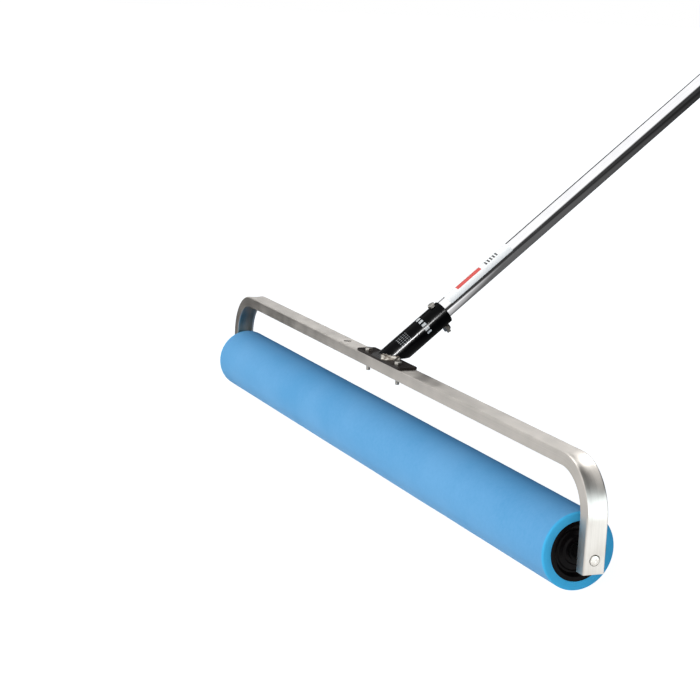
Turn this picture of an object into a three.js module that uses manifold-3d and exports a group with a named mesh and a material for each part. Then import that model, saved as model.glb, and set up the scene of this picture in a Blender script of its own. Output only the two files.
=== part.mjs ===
// Long-handled foam roller for pushing standing water off courts and floors.
//
// Millimetres, +Z up. X runs along the roller, and the handle leans back
// towards +Y. The pieces are built about the middle of the roller's axle line,
// and the finished assembly is then set on the floor, centred on its footprint.

import * as THREE from 'three';
import { mergeVertices } from 'three/addons/utils/BufferGeometryUtils.js';
import Module from 'manifold-3d';

const wasm = await Module();
wasm.setup();

// Clearances
const SEAT_GAP = 0.1; // between faces that bear on each other
const RUNNING_GAP = 0.3; // round moving and leaning pieces

// Frame: one length of channel, web outwards, bent down at both ends
const FRAME_WIDTH = 965.2;
const FRAME_TOP = 92.3; // above the axle line
const LEG_DROP = 13.9; // below the axle line
const WEB_WIDTH = 22.9;
const FLANGE_DEPTH = 13.2;
const WALL = 2.5;
const BEND_RADIUS = 55;
const BEND_STEPS = 7; // half the facets of each bend
const SPARE_HOLE_X = -116.5;
const SPARE_HOLE_DIAMETER = 9.6;

// Roller
const ROLLER_LENGTH = 914.4;
const ROLLER_SHIFT = -4.5; // the spacers are unequal, so it sits left of the middle
const SLEEVE_DIAMETER = 78.8;
const SLEEVE_EDGE = 2.5;
const CORE_DIAMETER = 60.3;
const CORE_BORE = 52.5;
const CAP_RIM_THICKNESS = 2.5;
const CAP_PLUG_DEPTH = 24;
const CAP_DISH_DEPTH = 5;
const CAP_RIM_WIDTH = 6;
const CAP_DISH_SLOPE = 4;
const CAP_FLOOR_THICKNESS = 3;
const CAP_PLUG_WALL = 3;
const CAP_EDGE = 0.8;
const HUB_DIAMETER = 26;
const HUB_DEPTH = 20; // behind the roller's end face

// Axle line
const PIN_DIAMETER = 10.4;
const PIN_HOLE_DIAMETER = 11.4;
const PIN_STANDOUT = 1.4;
const PIN_CHAMFER = 0.8;
const PIN_DOME = 0.2;
const COLLAR_DIAMETER = 17;
const COLLAR_THICKNESS = 3;
const JOURNAL_DIAMETER = 9.6;
const WASHER_DIAMETER = 16;
const WASHER_THICKNESS = 1.2;
const SPACER_DIAMETER = 14.5;
const BUSH_DIAMETER = 15;
const BUSH_FLANGE_DIAMETER = 19;
const BUSH_FLANGE_THICKNESS = 2;
const BUSH_LENGTH = 20;

// Bracket, bolted on top of the frame
const BRACKET_X = -2.5; // its holes are drilled a little left of the middle
const PLATE_LENGTH = 119;
const PLATE_WIDTH = 24;
const PLATE_THICKNESS = 3;
const PLATE_CORNER = 3;
const PLATE_BOLT_SPACING = 82;
const PLATE_BOLT_Y = -4;
const PLATE_BOLT_TIP = 72; // above the axle line

// Handle: distances along it are measured from where its axis meets the frame's top
const HANDLE_ANGLE = THREE.MathUtils.degToRad(39.3); // above the floor
const HANDLE_Y = 2.8;
const SOCKET_DIAMETER = 28.6;
const SOCKET_BORE = 26.2;
const SOCKET_MOUTH = 88;
const SOCKET_FRONT_Y = -10.5; // sawn off square just inside the plate's front edge
const SOCKET_EDGE = 0.6;
const WELD_WIDTH = 5.5; // out from the socket
const WELD_HEIGHT = 6;
const WELD_FRONT_Y = -13;
const WELD_BACK_Y = 8;
const POLE_DIAMETER = 22.2;
const POLE_BORE = 19;
const POLE_START = 22;
const POLE_OFFSET = 1.9; // the cross bolt pulls the pole against the socket's upper wall
const POLE_LENGTH = 1371.6;
const CROSS_BOLT_FROM_MOUTH = 9;
const GRIP_DIAMETER = 30;
const GRIP_LENGTH = 130;
const GRIP_OVERHANG = 20; // solid end beyond the pole
const GRIP_FIRST_RING = 14; // from the grip's lower end
const GRIP_RINGS = 5;
const GRIP_RING_PITCH = 17;
const GRIP_RING_WIDTH = 5;
const GRIP_RING_DEPTH = 1.2;
const GRIP_RING_SLOPE = 1;
const GRIP_LIP = 1.5;
const GRIP_END_ROUND = 3;
const HANG_HOLE_DIAMETER = 7;

// M5 fasteners
const BOLT_DIAMETER = 5;
const BOLT_HOLE_DIAMETER = 5.8;
const HEX_ACROSS_FLATS = 8;
const HEAD_HEIGHT = 3.5;
const NUT_HEIGHT = 5;
const LOCK_WASHER_DIAMETER = 8.8;
const LOCK_WASHER_THICKNESS = 1.2;
const THREAD_STANDOUT = 3.5;

// Facets in a full circle
const LARGE_ROUND = 64;
const MEDIUM_ROUND = 36;
const SMALL_ROUND = 24;

const MATERIALS = {
  aluminium: { color: 0xaaa59d, roughness: 0.38, metalness: 1 },
  polishedAluminium: { color: 0xd9dadd, roughness: 0.12, metalness: 1 },
  zincSteel: { color: 0xc9c6bf, roughness: 0.3, metalness: 1 },
  weldMetal: { color: 0x9d9a90, roughness: 0.55, metalness: 1 },
  blackPaint: { color: 0x0b0b0d, roughness: 0.18, metalness: 0 },
  brownBlackPaint: { color: 0x1d1714, roughness: 0.4, metalness: 0 },
  blackPlastic: { color: 0x0c0c0e, roughness: 0.2, metalness: 0 },
  blackNylon: { color: 0x141415, roughness: 0.45, metalness: 0 },
  pipePlastic: { color: 0xd8d8d4, roughness: 0.45, metalness: 0 },
  blueFoam: { color: 0x3f8fd0, roughness: 0.85, metalness: 0 },
  blackRubber: { color: 0x151515, roughness: 0.75, metalness: 0 },
};

// ---------------------------------------------------------------- solids

/** A closed three.js geometry as a manifold solid. */
function toSolid(geometry) {
  const bare = geometry.clone();
  bare.deleteAttribute('normal');
  bare.deleteAttribute('uv');
  const merged = mergeVertices(bare, 1e-4);
  return new wasm.Manifold(new wasm.Mesh({
    numProp: 3,
    vertProperties: new Float32Array(merged.attributes.position.array),
    triVerts: new Uint32Array(merged.index.array),
  }));
}

/** A manifold solid as a three.js geometry. */
function toGeometry(solid) {
  const mesh = solid.getMesh();
  const geometry = new THREE.BufferGeometry();
  geometry.setAttribute('position', new THREE.BufferAttribute(mesh.vertProperties, 3));
  geometry.setIndex(new THREE.BufferAttribute(mesh.triVerts, 1));
  geometry.computeVertexNormals();
  return geometry;
}

/** The first geometry with all the others cut out of it. */
function cut(geometry, ...tools) {
  let solid = toSolid(geometry);
  for (const tool of tools) {
    solid = solid.subtract(toSolid(tool));
  }
  return toGeometry(solid);
}

/** A turned solid about the Y axis, from [radius, height] points up its outside. */
function turned(points, facets) {
  const profile = points.map(([radius, height]) => new THREE.Vector2(radius, height));
  return new THREE.LatheGeometry(profile, facets);
}

/** A turned tube or ring about the Y axis, with small chamfers on its outer edges. */
function ring(outer, inner, low, high, facets, chamfer = 0) {
  return turned([
    [inner / 2, low],
    [outer / 2 - chamfer, low],
    [outer / 2, low + chamfer],
    [outer / 2, high - chamfer],
    [outer / 2 - chamfer, high],
    [inner / 2, high],
    [inner / 2, low],
  ].filter(differsFromNext), facets);
}

/** True unless a profile point only repeats the point after it. */
function differsFromNext([radius, height], index, points) {
  const next = points[index + 1];
  return !next || next[0] !== radius || next[1] !== height;
}

/** A plain round bar about the Y axis. */
function bar(diameter, low, high, facets = SMALL_ROUND) {
  const length = high - low;
  const geometry = new THREE.CylinderGeometry(diameter / 2, diameter / 2, length, facets);
  return geometry.translate(0, low + length / 2, 0);
}

/** A hexagonal bar about the Y axis. */
function hexBar(low, high) {
  const acrossCorners = HEX_ACROSS_FLATS / Math.cos(Math.PI / 6);
  return bar(acrossCorners, low, high, 6);
}

/** A hex bolt about the Y axis: the head stands on height 0 and the shank runs down. */
function hexBolt(shankLength) {
  const radius = BOLT_DIAMETER / 2;
  const shank = turned([
    [0, -shankLength],
    [radius - 0.6, -shankLength],
    [radius, 0.6 - shankLength],
    [radius, HEAD_HEIGHT / 2],
    [0, HEAD_HEIGHT / 2],
  ], SMALL_ROUND);
  const head = toSolid(hexBar(0, HEAD_HEIGHT));
  return toGeometry(head.add(toSolid(shank)));
}

/** A hex nut about the Y axis, its top face at height 0. */
function hexNut() {
  const clearance = BOLT_DIAMETER + 2 * SEAT_GAP;
  return cut(hexBar(-NUT_HEIGHT, 0), bar(clearance, -NUT_HEIGHT - 1, 1));
}

/** A lock washer about the Y axis, its top face at height 0. */
function lockWasher() {
  const clearance = BOLT_DIAMETER + 2 * SEAT_GAP;
  return ring(LOCK_WASHER_DIAMETER, clearance, -LOCK_WASHER_THICKNESS, 0, SMALL_ROUND);
}

/** A named mesh in one of the materials above. */
function piece(name, geometry, materialName) {
  const mesh = new THREE.Mesh(geometry, new THREE.MeshStandardMaterial(MATERIALS[materialName]));
  mesh.name = name;
  return mesh;
}

// ----------------------------------------------------------------- frame

/**
 * The outline of the bent strip, seen from the front, between two depths in
 * from the outside face. Its legs end at the given drop below the axle line.
 */
function bentStrip(outerDepth, innerDepth, drop) {
  const half = FRAME_WIDTH / 2;
  const bendX = half - BEND_RADIUS;
  const bendZ = FRAME_TOP - BEND_RADIUS;
  const outer = BEND_RADIUS - outerDepth;
  const inner = BEND_RADIUS - innerDepth;
  const shape = new THREE.Shape();
  shape.moveTo(bendX + outer, -drop);
  shape.lineTo(bendX + outer, bendZ);
  shape.absarc(bendX, bendZ, outer, 0, Math.PI / 2, false);
  shape.absarc(-bendX, bendZ, outer, Math.PI / 2, Math.PI, false);
  shape.lineTo(-bendX - outer, -drop);
  shape.lineTo(-bendX - inner, -drop);
  shape.absarc(-bendX, bendZ, inner, Math.PI, Math.PI / 2, true);
  shape.absarc(bendX, bendZ, inner, Math.PI / 2, 0, true);
  shape.lineTo(bendX + inner, -drop);
  return shape;
}

/** A shape drawn in X and Z, given a thickness centred on Y = 0. */
function extrudeAcross(shape, thickness) {
  const geometry = new THREE.ExtrudeGeometry(shape, {
    depth: thickness,
    bevelEnabled: false,
    curveSegments: BEND_STEPS,
  });
  return geometry.translate(0, 0, -thickness / 2).rotateX(Math.PI / 2);
}

/** A drill standing on the frame's top. */
function verticalDrill(diameter, x, y) {
  const reach = 2 * FLANGE_DEPTH;
  return bar(diameter, -reach, reach).rotateX(Math.PI / 2).translate(x, y, FRAME_TOP);
}

/** Where a bracket bolt stands along the frame; side is -1 or 1. */
function plateBoltX(side) {
  return BRACKET_X + side * PLATE_BOLT_SPACING / 2;
}

/** The channel: a bent bar, hollowed from its inner side and drilled. */
function frameChannel() {
  const beyond = 5; // the hollow runs out past the open edges
  const solidBar = extrudeAcross(bentStrip(0, FLANGE_DEPTH, LEG_DROP), WEB_WIDTH);
  const hollow = extrudeAcross(
    bentStrip(WALL, FLANGE_DEPTH + beyond, LEG_DROP + beyond),
    WEB_WIDTH - 2 * WALL,
  );
  const pinHole = bar(PIN_HOLE_DIAMETER, -FRAME_WIDTH, FRAME_WIDTH).rotateZ(Math.PI / 2);
  const drills = [-1, 1].map((side) => (
    verticalDrill(BOLT_HOLE_DIAMETER, plateBoltX(side), PLATE_BOLT_Y)
  ));
  drills.push(verticalDrill(SPARE_HOLE_DIAMETER, SPARE_HOLE_X, 0));
  return cut(solidBar, hollow, pinHole, ...drills);
}

// ---------------------------------------------------------------- roller

/** Lays a piece turned about Y along X, pointing towards one end of the roller. */
function faceEnd(geometry, side) {
  return geometry.rotateZ(-side * Math.PI / 2);
}

/** The foam sleeve: a thick tube with softened edges. */
function spongeSleeve() {
  const half = ROLLER_LENGTH / 2;
  const radius = SLEEVE_DIAMETER / 2;
  const bore = CORE_DIAMETER / 2 + SEAT_GAP;
  const inset = SLEEVE_EDGE * (1 - Math.SQRT1_2);
  const sleeve = turned([
    [bore, -half],
    [radius - SLEEVE_EDGE, -half],
    [radius - inset, inset - half],
    [radius, SLEEVE_EDGE - half],
    [radius, half - SLEEVE_EDGE],
    [radius - inset, half - inset],
    [radius - SLEEVE_EDGE, half],
    [bore, half],
    [bore, -half],
  ], LARGE_ROUND);
  return faceEnd(sleeve, 1).translate(ROLLER_SHIFT, 0, 0);
}

/** The plastic pipe that the foam is bonded to. */
function coreTube() {
  const half = ROLLER_LENGTH / 2 - CAP_RIM_THICKNESS - SEAT_GAP;
  const tube = ring(CORE_DIAMETER, CORE_BORE, -half, half, LARGE_ROUND);
  return faceEnd(tube, 1).translate(ROLLER_SHIFT, 0, 0);
}

/** The dished plug in the pipe's end; height 0 is the roller's end face. */
function endCap() {
  const rim = CORE_DIAMETER / 2;
  const plug = CORE_BORE / 2 - SEAT_GAP;
  const plugBore = plug - CAP_PLUG_WALL;
  const dish = rim - CAP_RIM_WIDTH;
  const hub = HUB_DIAMETER / 2;
  const hubBack = hub - CAP_PLUG_WALL;
  const bore = BUSH_DIAMETER / 2 + SEAT_GAP;
  const floor = -CAP_DISH_DEPTH;
  const floorBack = floor - CAP_FLOOR_THICKNESS;
  return turned([
    [bore, -HUB_DEPTH],
    [hubBack, -HUB_DEPTH],
    [hubBack, floorBack],
    [plugBore, floorBack],
    [plugBore, -CAP_PLUG_DEPTH],
    [plug, -CAP_PLUG_DEPTH],
    [plug, -CAP_RIM_THICKNESS],
    [rim, -CAP_RIM_THICKNESS],
    [rim, -CAP_EDGE],
    [rim - CAP_EDGE, 0],
    [dish + CAP_EDGE, 0],
    [dish, -CAP_EDGE],
    [dish - CAP_DISH_SLOPE, floor],
    [hub + CAP_EDGE, floor],
    [hub, floor + CAP_EDGE],
    [hub, -BUSH_FLANGE_THICKNESS],
    [bore, -BUSH_FLANGE_THICKNESS],
    [bore, -HUB_DEPTH],
  ], MEDIUM_ROUND);
}

/** The flanged nylon bush in the cap's hub; height 0 is the roller's end face. */
function bush() {
  const journal = JOURNAL_DIAMETER / 2 + RUNNING_GAP;
  const body = BUSH_DIAMETER / 2;
  const flange = BUSH_FLANGE_DIAMETER / 2;
  const seat = SEAT_GAP - BUSH_FLANGE_THICKNESS;
  return turned([
    [journal, -BUSH_LENGTH],
    [body - 0.5, -BUSH_LENGTH],
    [body, 0.5 - BUSH_LENGTH],
    [body, seat],
    [flange, seat],
    [flange, seat + BUSH_FLANGE_THICKNESS],
    [journal, seat + BUSH_FLANGE_THICKNESS],
    [journal, -BUSH_LENGTH],
  ], SMALL_ROUND);
}

// ------------------------------------------------------------- axle line

/** Where one end face of the roller stands along X. */
function rollerEnd(side) {
  return ROLLER_SHIFT + side * ROLLER_LENGTH / 2;
}

/**
 * The stub pin: it is held in the leg between its collar and its outer end,
 * and its journal runs in the bush. Height 0 is the leg's outer face.
 */
function axlePin(side) {
  const outer = PIN_DIAMETER / 2;
  const journal = JOURNAL_DIAMETER / 2;
  const collarTop = -WALL - SEAT_GAP;
  const toRollerEnd = FRAME_WIDTH / 2 - Math.abs(rollerEnd(side));
  const tip = -toRollerEnd - BUSH_LENGTH + 1;
  return turned([
    [0, tip],
    [journal - 1, tip],
    [journal, tip + 1],
    [journal, collarTop - COLLAR_THICKNESS],
    [COLLAR_DIAMETER / 2, collarTop - COLLAR_THICKNESS],
    [COLLAR_DIAMETER / 2, collarTop],
    [outer, collarTop],
    [outer, PIN_STANDOUT - PIN_CHAMFER],
    [outer - PIN_CHAMFER, PIN_STANDOUT - PIN_DOME],
    [0, PIN_STANDOUT],
  ], SMALL_ROUND);
}

/** The steel washer against the pin's collar. Height 0 is the leg's outer face. */
function axleWasher() {
  const top = -WALL - COLLAR_THICKNESS - 2 * SEAT_GAP;
  const bore = JOURNAL_DIAMETER + 2 * RUNNING_GAP;
  return ring(WASHER_DIAMETER, bore, top - WASHER_THICKNESS, top, SMALL_ROUND);
}

/** The nylon spacer tube from the washer to the bush. Height 0 is the leg's outer face. */
function axleSpacer(side) {
  const top = -WALL - COLLAR_THICKNESS - WASHER_THICKNESS - 3 * SEAT_GAP;
  const bushFace = Math.abs(rollerEnd(side)) - FRAME_WIDTH / 2 + SEAT_GAP;
  const bore = JOURNAL_DIAMETER + 2 * RUNNING_GAP;
  return ring(SPACER_DIAMETER, bore, bushFace + RUNNING_GAP, top, SMALL_ROUND, 0.4);
}

// --------------------------------------------------------------- bracket

/** The flat plate under the socket, with rounded corners and two bolt holes. */
function bracketPlate() {
  const x = PLATE_LENGTH / 2;
  const y = PLATE_WIDTH / 2;
  const shape = new THREE.Shape();
  shape.absarc(x - PLATE_CORNER, y - PLATE_CORNER, PLATE_CORNER, 0, Math.PI / 2, false);
  shape.absarc(PLATE_CORNER - x, y - PLATE_CORNER, PLATE_CORNER, Math.PI / 2, Math.PI, false);
  shape.absarc(PLATE_CORNER - x, PLATE_CORNER - y, PLATE_CORNER, Math.PI, -Math.PI / 2, false);
  shape.absarc(x - PLATE_CORNER, PLATE_CORNER - y, PLATE_CORNER, -Math.PI / 2, 0, false);
  for (const side of [-1, 1]) {
    const hole = new THREE.Path();
    const holeX = side * PLATE_BOLT_SPACING / 2;
    hole.absarc(holeX, PLATE_BOLT_Y, BOLT_HOLE_DIAMETER / 2, 0, 2 * Math.PI, true);
    shape.holes.push(hole);
  }
  return new THREE.ExtrudeGeometry(shape, {
    depth: PLATE_THICKNESS,
    bevelEnabled: false,
    curveSegments: 4,
  });
}

/** Turns a piece made about Y so that it stands upright along Z. */
function upright(geometry) {
  return geometry.rotateX(Math.PI / 2);
}

// ---------------------------------------------------------------- handle

const PLATE_TOP = FRAME_TOP + SEAT_GAP + PLATE_THICKNESS;
const SOCKET_BASE = PLATE_TOP + RUNNING_GAP;
const CROSS_BOLT_PLACE = SOCKET_MOUTH - CROSS_BOLT_FROM_MOUTH;

/** Moves a piece made about Y onto the handle's leaning axis. */
function ontoHandle(geometry) {
  return geometry.rotateX(HANDLE_ANGLE).translate(BRACKET_X, HANDLE_Y, FRAME_TOP);
}

/** A hole for the cross bolt, through everything on the handle's axis. */
function crossHole() {
  const reach = SOCKET_DIAMETER;
  const hole = bar(BOLT_HOLE_DIAMETER, -reach, reach).rotateX(Math.PI / 2);
  return hole.translate(0, CROSS_BOLT_PLACE, 0);
}

/** The block of space below the plate's top and in front of the socket's front cut. */
function socketTrim() {
  const size = 8 * SOCKET_DIAMETER;
  const below = new THREE.BoxGeometry(size, size, size);
  below.translate(BRACKET_X, 0, SOCKET_BASE - size / 2);
  return [below, beyondY(SOCKET_FRONT_Y, -1)];
}

/** The socket tube, cut to stand on the plate and square off at the front. */
function handleSocket() {
  const tube = ring(SOCKET_DIAMETER, SOCKET_BORE, -2 * SOCKET_DIAMETER, SOCKET_MOUTH,
    MEDIUM_ROUND, SOCKET_EDGE);
  return cut(ontoHandle(tube), ontoHandle(crossHole()), ...socketTrim());
}

/** Everything in front of a plane square to Y (side -1) or behind it (side 1). */
function beyondY(y, side) {
  const size = 8 * SOCKET_DIAMETER;
  const block = new THREE.BoxGeometry(size, size, size);
  return block.translate(BRACKET_X, y + side * size / 2, FRAME_TOP);
}

/** The rounded weld round the socket's foot, which also closes its sawn front. */
function socketWeld() {
  const reach = 2 * SOCKET_DIAMETER;
  const halfWidth = SOCKET_DIAMETER / 2;
  const halfLength = halfWidth / Math.sin(HANDLE_ANGLE);
  const footY = HANDLE_Y + (SOCKET_BASE - FRAME_TOP) / Math.tan(HANDLE_ANGLE);
  const shape = new THREE.Shape();
  shape.absellipse(0, 0, halfWidth + WELD_WIDTH, halfLength + WELD_WIDTH, 0, 2 * Math.PI);
  const bead = new THREE.ExtrudeGeometry(shape, {
    depth: SEAT_GAP,
    bevelThickness: WELD_HEIGHT,
    bevelSize: WELD_WIDTH,
    bevelOffset: -WELD_WIDTH,
    bevelSegments: 4,
    curveSegments: SMALL_ROUND,
  });
  bead.translate(BRACKET_X, footY, SOCKET_BASE - SEAT_GAP);
  const [below] = socketTrim();
  const socket = bar(SOCKET_DIAMETER + 2 * RUNNING_GAP, -reach, reach);
  const behindSawnEnd = cut(ontoHandle(socket), beyondY(SOCKET_FRONT_Y - RUNNING_GAP, -1));
  return cut(bead, below, behindSawnEnd, beyondY(WELD_FRONT_Y, -1), beyondY(WELD_BACK_Y, 1));
}

/** The pole, open at its lower end and cross-drilled. */
function poleTube() {
  const tube = ring(POLE_DIAMETER, POLE_BORE, POLE_START, POLE_START + POLE_LENGTH,
    MEDIUM_ROUND);
  return cut(tube, crossHole());
}

/** The ribbed sleeve over the pole's upper end, closed and pierced for hanging. */
function handGrip() {
  const end = POLE_START + POLE_LENGTH;
  const tip = end + GRIP_OVERHANG;
  const start = tip - GRIP_LENGTH;
  const radius = GRIP_DIAMETER / 2;
  const bore = POLE_DIAMETER / 2 + RUNNING_GAP;
  const groove = radius - GRIP_RING_DEPTH;
  const points = [[bore, start], [radius - GRIP_LIP, start], [radius, start + GRIP_LIP]];
  for (let index = 0; index < GRIP_RINGS; index += 1) {
    const low = start + GRIP_FIRST_RING + index * GRIP_RING_PITCH;
    const high = low + GRIP_RING_WIDTH;
    points.push([radius, low]);
    points.push([groove, low + GRIP_RING_SLOPE]);
    points.push([groove, high - GRIP_RING_SLOPE]);
    points.push([radius, high]);
  }
  points.push([radius, tip - GRIP_END_ROUND], [radius - GRIP_END_ROUND, tip], [0, tip]);
  points.push([0, end + RUNNING_GAP], [bore, end + RUNNING_GAP], [bore, start]);
  const hole = bar(HANG_HOLE_DIAMETER, -GRIP_DIAMETER, GRIP_DIAMETER).rotateZ(Math.PI / 2);
  hole.translate(0, tip - GRIP_OVERHANG / 2, 0);
  return cut(turned(points, SMALL_ROUND), hole);
}

/** The leaning handle: the pole, its grip and the bolt that holds it in the socket. */
function handleGroup() {
  const group = new THREE.Group();
  group.position.set(BRACKET_X, HANDLE_Y, FRAME_TOP);
  group.rotation.x = HANDLE_ANGLE;
  const pole = piece('pole_tube', poleTube(), 'polishedAluminium');
  const grip = piece('hand_grip', handGrip(), 'blackRubber');
  pole.position.z = POLE_OFFSET;
  grip.position.z = POLE_OFFSET;
  group.add(pole, grip);

  const seat = SOCKET_DIAMETER / 2 + RUNNING_GAP;
  const shank = 2 * seat + LOCK_WASHER_THICKNESS + NUT_HEIGHT + THREAD_STANDOUT;
  const bolt = piece('cross_bolt', upright(hexBolt(shank)), 'zincSteel');
  bolt.position.set(0, CROSS_BOLT_PLACE, seat);
  const washer = piece('cross_lock_washer', upright(lockWasher()), 'zincSteel');
  washer.position.set(0, CROSS_BOLT_PLACE, -seat);
  const nut = piece('cross_nut', upright(hexNut()), 'zincSteel');
  nut.position.set(0, CROSS_BOLT_PLACE, -seat - LOCK_WASHER_THICKNESS - SEAT_GAP);
  group.add(bolt, washer, nut);
  return group;
}

// -------------------------------------------------------------- assembly

/** Everything at one end of the axle line; side is -1 or 1. */
function axleEnd(side, sideName) {
  const group = new THREE.Group();
  const rows = [
    ['axle_pin', axlePin(side), 'zincSteel', side * FRAME_WIDTH / 2],
    ['axle_washer', axleWasher(), 'zincSteel', side * FRAME_WIDTH / 2],
    ['axle_spacer', axleSpacer(side), 'blackNylon', side * FRAME_WIDTH / 2],
    ['bush', bush(), 'blackNylon', rollerEnd(side)],
    ['end_cap', endCap(), 'blackPlastic', rollerEnd(side)],
  ];
  for (const [name, geometry, materialName, x] of rows) {
    const mesh = piece(`${name}_${sideName}`, faceEnd(geometry, side), materialName);
    mesh.position.x = x;
    group.add(mesh);
  }
  return group;
}

/** One bracket bolt with its washer and nut inside the channel. */
function plateBoltStack(side, sideName) {
  const group = new THREE.Group();
  group.position.set(plateBoltX(side), PLATE_BOLT_Y, 0);
  const headSeat = PLATE_TOP + SEAT_GAP;
  const washerTop = FRAME_TOP - WALL - SEAT_GAP;
  const nutTop = washerTop - LOCK_WASHER_THICKNESS - SEAT_GAP;
  const rows = [
    ['plate_bolt', hexBolt(headSeat - PLATE_BOLT_TIP), headSeat],
    ['plate_lock_washer', lockWasher(), washerTop],
    ['plate_nut', hexNut(), nutTop],
  ];
  for (const [name, geometry, z] of rows) {
    const mesh = piece(`${name}_${sideName}`, upright(geometry), 'zincSteel');
    mesh.position.z = z;
    group.add(mesh);
  }
  return group;
}

const assembly = new THREE.Group();
assembly.add(piece('frame_channel', frameChannel(), 'aluminium'));
assembly.add(piece('core_tube', coreTube(), 'pipePlastic'));
assembly.add(piece('sponge_sleeve', spongeSleeve(), 'blueFoam'));
for (const [side, sideName] of [[-1, 'left'], [1, 'right']]) {
  assembly.add(axleEnd(side, sideName));
  assembly.add(plateBoltStack(side, sideName));
}
const plate = piece('bracket_plate', bracketPlate(), 'brownBlackPaint');
plate.position.set(BRACKET_X, 0, FRAME_TOP + SEAT_GAP);
assembly.add(plate);
assembly.add(piece('handle_socket', handleSocket(), 'blackPaint'));
assembly.add(piece('socket_weld', socketWeld(), 'weldMetal'));
assembly.add(handleGroup());

// Stand it on the floor, with the origin under the middle of its box.
const box = new THREE.Box3().setFromObject(assembly, true);
const middle = box.getCenter(new THREE.Vector3());
assembly.position.set(-middle.x, -middle.y, -box.min.z);

export default assembly;
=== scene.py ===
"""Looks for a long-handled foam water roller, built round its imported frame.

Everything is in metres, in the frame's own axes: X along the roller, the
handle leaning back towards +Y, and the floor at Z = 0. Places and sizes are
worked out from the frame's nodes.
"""

import sys

import logging
import math
from dataclasses import dataclass, field, replace
from enum import Enum
from typing import Callable, Iterable, Optional, Sequence

import bmesh
import bpy
from mathutils import Matrix, Vector, noise


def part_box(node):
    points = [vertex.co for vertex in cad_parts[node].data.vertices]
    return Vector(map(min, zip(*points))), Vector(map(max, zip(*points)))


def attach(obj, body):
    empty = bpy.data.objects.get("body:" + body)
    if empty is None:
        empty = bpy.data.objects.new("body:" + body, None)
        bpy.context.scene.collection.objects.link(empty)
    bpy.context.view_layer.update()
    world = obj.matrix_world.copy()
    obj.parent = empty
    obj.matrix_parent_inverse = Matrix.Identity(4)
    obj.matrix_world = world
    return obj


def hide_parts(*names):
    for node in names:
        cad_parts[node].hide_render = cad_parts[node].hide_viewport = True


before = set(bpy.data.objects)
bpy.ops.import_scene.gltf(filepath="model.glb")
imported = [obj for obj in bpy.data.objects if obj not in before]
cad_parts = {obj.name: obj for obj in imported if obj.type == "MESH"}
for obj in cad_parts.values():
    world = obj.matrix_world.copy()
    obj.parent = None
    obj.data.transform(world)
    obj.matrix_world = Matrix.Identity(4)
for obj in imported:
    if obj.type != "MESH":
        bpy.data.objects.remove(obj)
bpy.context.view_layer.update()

LOG = logging.getLogger("water_roller")
MM = 0.001
X_AXIS, Y_AXIS, Z_AXIS = (Vector(row).freeze() for row in Matrix.Identity(3))
FRAME_BODY = "frame"
ROLLER_BODY = "roller"
SMOOTH_ANGLE = 32.0  # degrees; edges sharper than this stay hard
POLE_OFFSET = 1.9 * MM  # how far the cross bolt pulls the pole off the socket's axis

Profile = Sequence[tuple[float, float]]
Colour = tuple[float, float, float]
Span = tuple[float, float]
MapRule = Callable[[Vector], tuple[float, float]]
BMesh = bmesh.types.BMesh
BMEdge = bmesh.types.BMEdge
BMVert = bmesh.types.BMVert
Object = bpy.types.Object
Material = bpy.types.Material
Socket = bpy.types.NodeSocket


# ---- Where things are ----


class Side(Enum):
    """The two ends of the roller."""

    LEFT = -1
    RIGHT = 1

    @property
    def word(self) -> str:
        """The side's name as the frame's nodes spell it."""
        return self.name.lower()

    @property
    def outward(self) -> Vector:
        """The direction that points out of this end."""
        return X_AXIS * self.value


def node_centre(node: str) -> Vector:
    """The middle of a frame node's box."""
    low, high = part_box(node)
    return (low + high) / 2


def node_size(node: str) -> Vector:
    """The three side lengths of a frame node's box."""
    low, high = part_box(node)
    return high - low


def placed(origin: Vector, axis: Vector) -> Matrix:
    """A frame of reference whose own Z runs along an axis.

    Args:
        origin: Where its zero stands.
        axis: The direction of its Z.

    Returns:
        The matrix that carries a piece made about Z to its place.
    """
    up = axis.normalized()
    side = Y_AXIS if abs(up.x) > 0.9 else X_AXIS
    across = up.cross(side).normalized()
    side = across.cross(up).normalized()
    turned = Matrix((side, across, up)).transposed().to_4x4()
    return Matrix.Translation(origin) @ turned


def end_place(side: Side, node: str) -> Matrix:
    """Z outwards along the roller's axis, zero on a node's outer face at one end.

    Args:
        side: The end of the roller.
        node: The node whose outer face it is.

    Returns:
        The matrix that carries a piece made about Z to its place.
    """
    low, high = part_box(node)
    middle = node_centre("sponge_sleeve")
    middle.x = high.x if side is Side.RIGHT else low.x
    return placed(middle, side.outward)


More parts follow.
